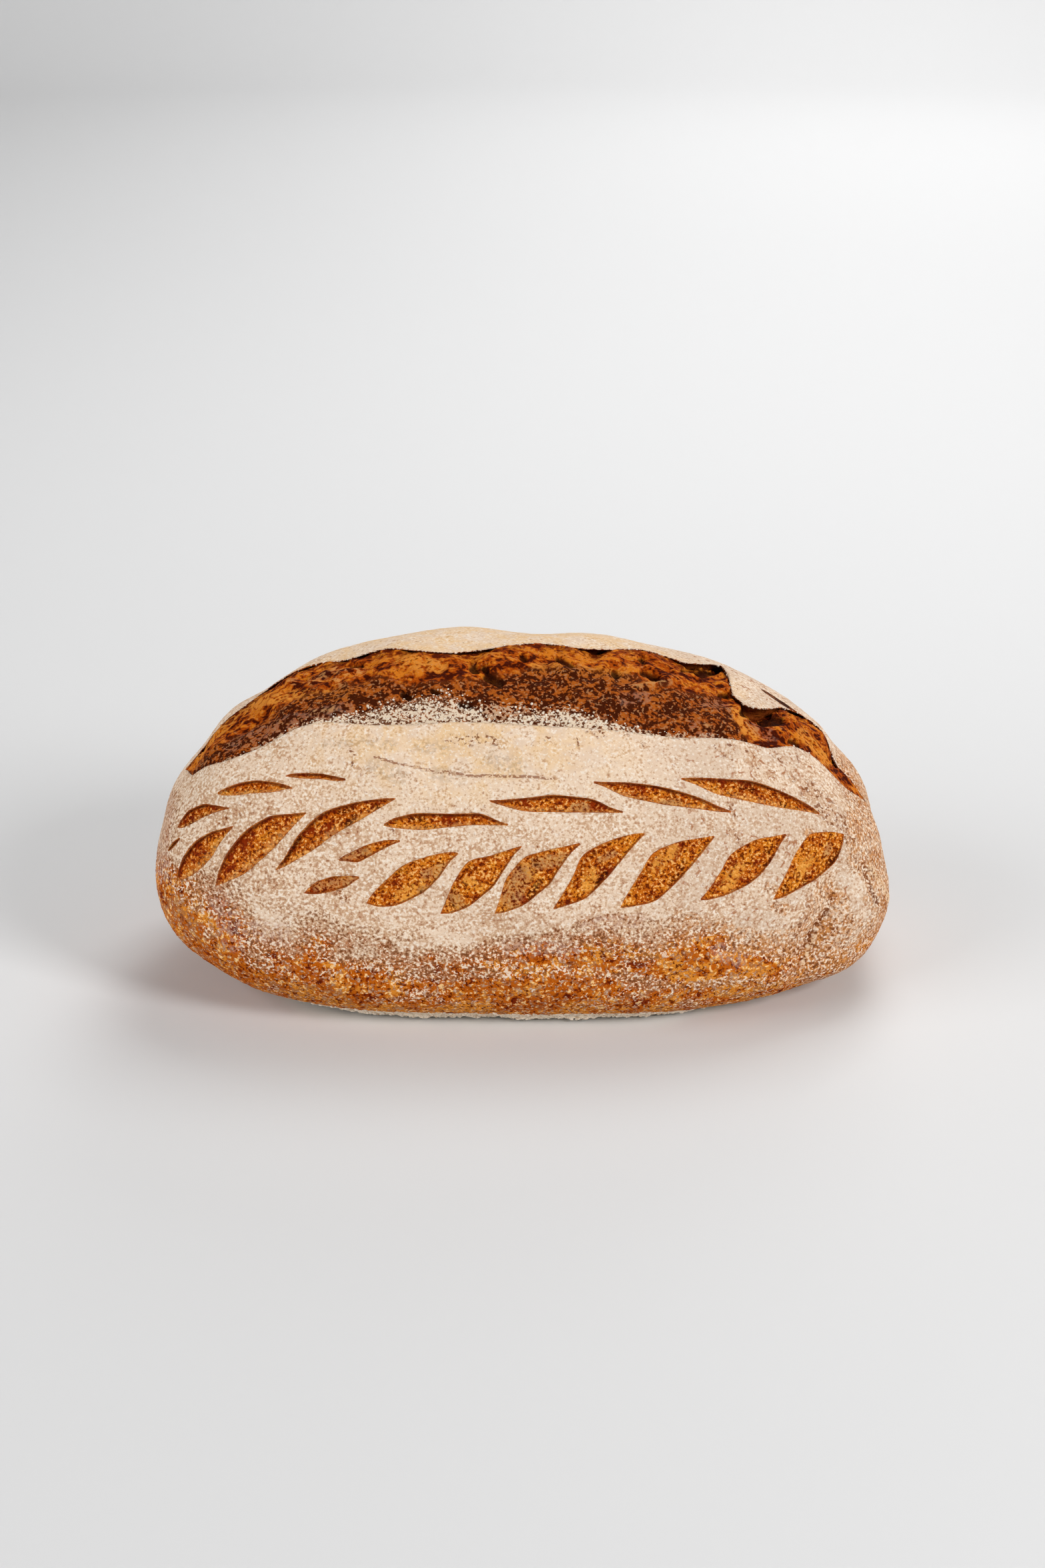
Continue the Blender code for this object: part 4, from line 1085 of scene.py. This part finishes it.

# Torn crown: dough that opened in the oven. It dried to orange and red-brown, toasted dark near
# its lip, and caught flour there; thin skins of dough and small hollows cross it. The hollows are
# painted near black as painted shade, and under the ear a darker brown is painted as shade.
torn_crown_crust = baked_finish(
    "torn_crown_crust",
    {"lumps": (6.5, 3, 0.5, 0.7), "fine": (2, 1.5, 0.3, 0.8), "grain": (1.1, 1, 0, 1),
     "cloud": (22, 2, 0, 1)},
    {"dusting": (("flour", 0.45), ("grain", 1), ("fine", 0.35), ("cloud", 0.3)),
     "sprinkled": (("sprinkle", 0.42), ("grain", 1), ("fine", 0.4), ("lumps", 0.3)),
     "char": (("fine", 0.7), ("grain", 0.5), ("lumps", 0.5)),
     "browning": (("lumps", 0.8), ("fine", 0.6), ("cloud", 0.25), ("golden", 0.1),
                  ("torn_share", 0.06))},
    ["#481202",
     ("#A84606", 1, ("browning", 0.76, 0.86)),
     ("#D67A1E", 0.95, ("browning", 0.86, 0.98)),
     ("#E0923C", 0.65, ("golden", 0.1, 0.9), ("fine", 0.42, 0.54)),
     ("#E09C5C", 0.4, ("grain", 0.58, 0.65), ("lumps", 0.46, 0.58)),
     ("#3C1004", 0.7, ("grain", 0.45, 0.37), ("fine", 0.56, 0.44)),
     ("#A04E1A", 0.75, ("toast", 0.2, 0.9)),
     ("#380F02", 0.92, ("toast", 0.2, 0.9), ("char", 0.92, 0.8)),
     ("#B07A50", 0.72, ("toast", 0.2, 0.9), ("grain", 0.58, 0.65)),
     ("#9A8070", 0.35, ("film", 0.1, 0.9), ("fine", 0.46, 0.6)),
     ("#D09A60", 0.5, ("pale", 0.15, 0.9), ("fine", 0.46, 0.6)),
     # Darker brown just under the ear's edge: partly the edge's burnt crust, partly painted shade
     # beneath the ear.
     ("#601E06", 0.8, ("torn_share", 0.84, 0.98), ("fine", 0.64, 0.46)),
     ("#CDAA8A", 0.85, ("sprinkled", 1.23, 1.34)),
     ("#9C6C4C", 0.45, ("dusting", 1.02, 1.16)),
     ("#EBD6BC", 0.95, ("dusting", 1.2, 1.32)),
     # Painted shade: the hollows of the torn dough painted near black.
     ("#280C02", 0.9, ("hollow", 0.25, 0.85)),
     # Painted shade: a darker brown under the ear, where it covers the torn dough.
     ("#783610", 0.9, ("painted_shade_under_ear", 0.1, 0.9))],
    (("fine", 1), ("lumps", 0.9), ("grain", 0.55)), 0.8, 0.03,
)

# Crumb in the leaves: the dough's open crumb, dried to a wrinkled skin of amber and red-brown,
# with olive-grey films over larger bubbles, painted light on the upper leaves' floors towards
# their lower lip, and a painted shade rim along each leaf's shaded edge.
leaf_crumb = baked_finish(
    "leaf_crumb",
    {"lumps": (4.6, 3, 0.8, 1), "fine": (1.6, 2, 0.6, 1), "grain": (1, 1, 0.1, 1),
     "cloud": (10, 2, 0, 1)},
    {"amber": (("lumps", 0.75), ("cloud", 0.35), ("tone", 0.06), ("leaf_painted_light", 0.08),
               ("grain", 0.3)),
     "shadow": (("leaf_shade", 0.5), ("fine", 0.45), ("lumps", 0.3), ("grain", 0.2))},
    ["#8A2C00",
     ("#C4620E", 1, ("amber", 0.61, 0.73)),
     ("#E08822", 0.95, ("amber", 0.73, 0.88)),
     ("#FFC474", 0.85, ("grain", 0.57, 0.65), ("amber", 0.6, 0.78)),
     ("#701E00", 0.65, ("fine", 0.44, 0.35)),
     ("#5A1800", 0.88, ("grain", 0.45, 0.37)),
     ("#F0A646", 0.7, ("golden", 0.1, 0.9), ("fine", 0.4, 0.54)),
     ("#B88C5A", 0.6, ("pale", 0.1, 0.9), ("grain", 0.36, 0.54)),
     # Painted light: the upper leaves' floors lightened towards their lower lip.
     ("#D8A060", 0.45, ("leaf_painted_light", 0.2, 1), ("fine", 0.44, 0.54)),
     # Painted shade: the dark rim along each leaf's shaded edge.
     ("#5E1E02", 0.85, ("shadow", 0.78, 0.98)),
     ("#B5703C", 0.25, ("crumb", 0.4, 0.1)),
     # Painted shade: the holes in the crumb painted dark.
     ("#3A1404", 0.75, ("hollow", 0.45, 1), ("grain", 0.6, 0.46))],
    (("fine", 0.4), ("lumps", 0.7), ("grain", 0.2)), 0.65, 0.05,
)

# Base: crust baked pale and floury against the stone.
stone_baked_base = baked_finish(
    "stone_baked_base",
    {"grain": (0.8, 2, 0, 1), "cloud": (12, 4, 0, 1)},
    {},
    ["#E2C6A0", ("#B07C48", 1, ("cloud", 0.46, 0.64)), ("#F4E6D0", 0.9, ("grain", 0.46, 0.62))],
    (("grain", 0.4),), 0.9, 0.1,
)


# Relief of the crust, raised along its surface: swellings and grain of the skin, blisters where
# it is bare, lumps and hollows of the torn dough, the leaves' crumb, and cracks in the flour.
# Each row is an input's name, its height in mm and the marks that it is held to; then, where it
# isn't an even rise, the size of its lumps in mm, their detail, warp and stretch along the loaf.
RELIEFS = (
    ("Skin swell", 0.5, ("skin",), 15, 3, 0, 1),
    ("Skin grain", 0.35, ("skin",), 3.4, 3, 0, 1),
    ("Blister", -0.55, ("skin", "blistered"), 2.3, 0, 0, 1),
    ("Torn lump", 3, ("torn",), 8, 4, 0.6, 0.6),
    ("Torn grain", 1.5, ("torn",), 2.4, 2, 0.3, 0.8),
    ("Torn hollow", -2.2, ("hollow", "torn")),
    ("Membrane", 0.5, ("pale", "torn")),
    ("Leaf crumb", 1.5, ("crumb",), 3.4, 4, 0.8, 1),
    ("Leaf hollow", -1, ("hollow", "crumb")),
    ("Rim crumbs", 2.2, ("flakes",), 3, 3, 0.3, 1),
    ("Ridge", 0.6, ("ridge",)),
    ("Crease", -0.8, ("crease",)),
    ("Crack", -0.35, ("crack",)),
    ("Split", -0.6, ("split",)),
)


def geometry_tree(name, inputs):
    """A geometry tree with inputs after its mesh, and the sockets that hand them on."""
    tree = bpy.data.node_groups.new(name, "GeometryNodeTree")
    for label, kind in {"Geometry": "Geometry", **inputs}.items():
        tree.interface.new_socket(label, in_out="INPUT", socket_type="NodeSocket" + kind)
    tree.interface.new_socket("Geometry", in_out="OUTPUT", socket_type="NodeSocketGeometry")
    return tree, add_node(tree, "NodeGroupInput").outputs


tree, given = geometry_tree("crust_relief", {name: "Float" for name, *rest in RELIEFS})
place = add_node(tree, "GeometryNodeInputPosition")
raised = 0
for name, height, marks, *pattern in RELIEFS:
    amount = given[name]
    if pattern:
        size, detail, warp, along = pattern
        stretched = {0: place, 1: (along, 1, 1)}
        stretched = add_node(tree, "ShaderNodeVectorMath", stretched, operation="MULTIPLY")
        lumps = {"Vector": stretched, "Scale": 1000 / size}
        if detail:
            lumps |= {"Detail": detail, "Distortion": warp}
        lumps = add_node(tree, "ShaderNodeTexNoise" if detail else "ShaderNodeTexVoronoi", lumps)
        centred = add_node(tree, "ShaderNodeMath", {0: lumps, 1: 0.5}, operation="SUBTRACT")
        amount = add_node(tree, "ShaderNodeMath", {0: centred, 1: amount}, operation="MULTIPLY")
    for mark in marks:
        share = add_node(tree, "GeometryNodeInputNamedAttribute", {"Name": mark}, data_type="FLOAT")
        amount = add_node(tree, "ShaderNodeMath", {0: amount, 1: share}, operation="MULTIPLY")
    raised = add_node(tree, "ShaderNodeMath", {0: raised, 1: amount}, operation="ADD")
outward = {0: add_node(tree, "GeometryNodeInputNormal"), "Scale": raised}
outward = add_node(tree, "ShaderNodeVectorMath", outward, operation="SCALE")
moved = {"Geometry": given["Geometry"], "Offset": outward}
moved = add_node(tree, "GeometryNodeSetPosition", moved)
moved = add_node(tree, "GeometryNodeRealizeInstances", {"Geometry": moved})
region = add_node(tree, "GeometryNodeInputNamedAttribute", {"Name": "region"}, data_type="INT")
for number, material in enumerate((floured_crust, torn_crown_crust, leaf_crumb, stone_baked_base)):
    here = {2: region, 3: number}
    here = add_node(tree, "FunctionNodeCompare", here, data_type="INT", operation="EQUAL")
    moved = {"Geometry": moved, "Selection": here, "Material": material}
    moved = add_node(tree, "GeometryNodeSetMaterial", moved)
add_node(tree, "NodeGroupOutput", {"Geometry": moved})


def apply_tree(piece, tree, sizes):
    """Runs a geometry tree with its sizes on a piece and keeps the result as a plain mesh."""
    modifier = piece.modifiers.new(tree.name, "NODES")
    modifier.node_group = tree
    for item in tree.interface.items_tree:
        if item.item_type == "SOCKET" and item.in_out == "INPUT" and item.name in sizes:
            modifier[item.identifier] = sizes[item.name]
    evaluated = piece.evaluated_get(bpy.context.evaluated_depsgraph_get())
    result = bpy.data.meshes.new_from_object(evaluated)
    piece.modifiers.remove(modifier)
    result.name = piece.name
    piece.data = result


def keep_in_box(piece):
    """Holds a piece's points within the loaf's own box, and above what it rests on."""
    corners = np.zeros(3 * len(piece.data.vertices))
    piece.data.vertices.foreach_get("co", corners)
    corners = np.clip(corners.reshape(-1, 3), *np.array(CAD_BOX))
    piece.data.vertices.foreach_set("co", corners.ravel())


apply_tree(loaf, tree, {name: height / 1000 for name, height, *rest in RELIEFS})
keep_in_box(loaf)
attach(loaf, "root")
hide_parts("loaf")


# Loose flour: small clumps that lie on the torn dough by its lip, and crumbs of flour and dough
# along the edge of the base. Both are scattered over the finished crust, few faces each.
loose_flour = baked_finish(
    "loose_flour",
    {"fleck": (1.6, 2, 0, 1), "grain": (0.6, 2, 0, 1)},
    {},
    ["#F1E4D2", ("#D8BC9C", 0.9, ("fleck", 0.5, 0.66)), ("#C08A58", 0.5, ("fleck", 0.62, 0.72))],
    (("grain", 0.2),), 0.95, 0.05,
)
SCATTER_SEED, SIZE_SEED, TURN_SEED = 7, 3, 5
tree, given = geometry_tree("flour_scatter", {
    "Where": "String", "Grains per square metre": "Float", "Smallest": "Float",
    "Largest": "Float", "Flatness": "Float",
})
where = {"Name": given["Where"]}
where = add_node(tree, "GeometryNodeInputNamedAttribute", where, data_type="FLOAT")
density = {0: where, 1: given["Grains per square metre"]}
density = add_node(tree, "ShaderNodeMath", density, operation="MULTIPLY")
scattered = {"Mesh": given["Geometry"], "Density": density, "Seed": SCATTER_SEED}
scattered = add_node(tree, "GeometryNodeDistributePointsOnFaces", scattered)
clump = add_node(tree, "GeometryNodeMeshIcoSphere", {"Radius": 1, "Subdivisions": 1})
skewed = {2: 0, 3: 1, "Seed": SIZE_SEED}
skewed = add_node(tree, "FunctionNodeRandomValue", skewed, data_type="FLOAT")
skewed = add_node(tree, "ShaderNodeMath", {0: skewed, 1: 3}, operation="POWER")
size = {"Value": skewed, "To Min": given["Smallest"], "To Max": given["Largest"]}
size = add_node(tree, "ShaderNodeMapRange", size)
flattened = {0: size, 1: given["Flatness"]}
flattened = add_node(tree, "ShaderNodeMath", flattened, operation="MULTIPLY")
scale = add_node(tree, "ShaderNodeCombineXYZ", {0: size, 1: size, 2: flattened})
turned = {0: (-0.5, -0.5, -3.1), 1: (0.5, 0.5, 3.1), "Seed": TURN_SEED}
turned = add_node(tree, "FunctionNodeRandomValue", turned, data_type="FLOAT_VECTOR")
turned = {0: scattered.outputs["Rotation"], 1: turned}
turned = add_node(tree, "FunctionNodeRotateRotation", turned, rotation_space="LOCAL")
placed = {"Points": scattered, "Instance": clump, "Rotation": turned, "Scale": scale}
placed = add_node(tree, "GeometryNodeInstanceOnPoints", placed)
placed = add_node(tree, "GeometryNodeRealizeInstances", {"Geometry": placed})
placed = {"Geometry": placed, "Material": loose_flour}
placed = add_node(tree, "GeometryNodeSetMaterial", placed)
add_node(tree, "NodeGroupOutput", {"Geometry": placed})

for name, where, per_area, smallest, largest, flatness in (
    ("flour_on_torn_crown", "loose", 0.8e6, 0.00018, 0.0006, 0.8),
    ("flour_crumbs_at_base", "flakes", 1.2e6, 0.0003, 0.0011, 0.6),
):
    flour_piece = add_object(name, loaf.data.copy())
    apply_tree(flour_piece, tree, {
        "Where": where, "Grains per square metre": per_area, "Smallest": smallest,
        "Largest": largest, "Flatness": flatness,
    })
    keep_in_box(flour_piece)
    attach(flour_piece, "root")


# The table: a round pale matt board, wider than any camera's way round, with a raised rim.
SWEEP_RADIUS = 2.6
SWEEP_BEND = 0.4
SWEEP_HEIGHT = 1.3
SWEEP_SIDES = 96
BEND_STEPS = 12
bend = np.linspace(0, math.pi / 2, BEND_STEPS + 1)
radii = np.append(SWEEP_RADIUS - SWEEP_BEND * (1 - np.sin(bend)), SWEEP_RADIUS)
heights = np.append(SWEEP_BEND * (1 - np.cos(bend)), SWEEP_HEIGHT)
turns = np.arange(SWEEP_SIDES) * 2 * math.pi / SWEEP_SIDES
sweep_points = [(0, 0, 0)]
for radius, z in zip(radii, heights):
    sweep_points += [(radius * math.cos(turn), radius * math.sin(turn), z) for turn in turns]
around = [(k, (k + 1) % SWEEP_SIDES) for k in range(SWEEP_SIDES)]
sweep_faces = [(0, 1 + k, 1 + after) for k, after in around]
for ring in range(len(bend)):
    near, far = 1 + ring * SWEEP_SIDES, 1 + (ring + 1) * SWEEP_SIDES
    sweep_faces += [(near + k, far + k, far + after, near + after) for k, after in around]
sweep_mesh = bpy.data.meshes.new("table_sweep")
sweep_mesh.from_pydata(sweep_points, [], sweep_faces)
sweep_mesh.shade_smooth()
sweep = add_object("table_sweep", sweep_mesh)
pale_board = bpy.data.materials.new("pale_matt_board")
pale_board.use_nodes = True
tree = pale_board.node_tree
tree.nodes.clear()
shader = {"Base Color": linear("#E4E4E4"), "Roughness": 0.9, "Specular IOR Level": 0.2}
shader = add_node(tree, "ShaderNodeBsdfPrincipled", shader)
add_node(tree, "ShaderNodeOutputMaterial", {"Surface": shader})
sweep_mesh.materials.append(pale_board)


# Camera: the photograph's place, a little above the loaf and in front of it.
CAMERA_HEIGHT_ANGLE = math.radians(24)
CAMERA_TURN = math.radians(2)
CAMERA_DISTANCE = 0.969
CAMERA_AIM = Vector((0.0011, -0.0051, 0.055))
CAMERA_LENS = 60
SENSOR_WIDTH = 36
PHOTO_WIDTH = 1568
PHOTO_HEIGHT = 2352
LOAF_MIDDLE = (789, 1231)
camera_data = bpy.data.cameras.new("camera")
camera_data.lens = CAMERA_LENS
camera_data.sensor_width = SENSOR_WIDTH
camera_data.shift_x = (PHOTO_WIDTH / 2 - LOAF_MIDDLE[0]) / PHOTO_HEIGHT
camera_data.shift_y = (LOAF_MIDDLE[1] - PHOTO_HEIGHT / 2) / PHOTO_HEIGHT
camera = add_object("camera", camera_data)
away = Vector((
    math.sin(CAMERA_TURN) * math.cos(CAMERA_HEIGHT_ANGLE),
    -math.cos(CAMERA_TURN) * math.cos(CAMERA_HEIGHT_ANGLE),
    math.sin(CAMERA_HEIGHT_ANGLE),
))
camera.location = CAMERA_AIM + CAMERA_DISTANCE * away
camera.rotation_euler = (-away).to_track_quat("-Z", "Y").to_euler()
bpy.context.scene.camera = camera

# Light: a soft box low at the right, one at the front left, and two behind over the board.
LIGHTS = (
    ("right_softbox", (1.093, -0.858, 0.855), (0.001, -0.005, 0.055), 0.5, 15.2),
    ("left_softbox", (-1.333, -0.775, 0.773), (0.001, -0.005, 0.055), 1.2, 15.4),
    ("far_softbox", (0.4, 1.9, 1), (0.1, 1.5, 0), 1, 10),
    ("rear_softbox", (0.3, 0.7, 1.2), (0.2, 0.8, 0), 0.8, 9),
)
for name, stand, aim, size, power in LIGHTS:
    light_data = bpy.data.lights.new(name, "AREA")
    light_data.shape = "SQUARE"
    light_data.size = size
    light_data.energy = power
    light = add_object(name, light_data)
    light.location = stand
    light.rotation_euler = (Vector(aim) - Vector(stand)).to_track_quat("-Z", "Y").to_euler()

ROOM_STRENGTH = 0.07
room = bpy.data.worlds.new("pale_room")
room.use_nodes = True
background = room.node_tree.nodes["Background"].inputs
background["Color"].default_value = linear("#F2F3F6")
background["Strength"].default_value = ROOM_STRENGTH
bpy.context.scene.world = room
bpy.context.scene.view_settings.view_transform = "Standard"
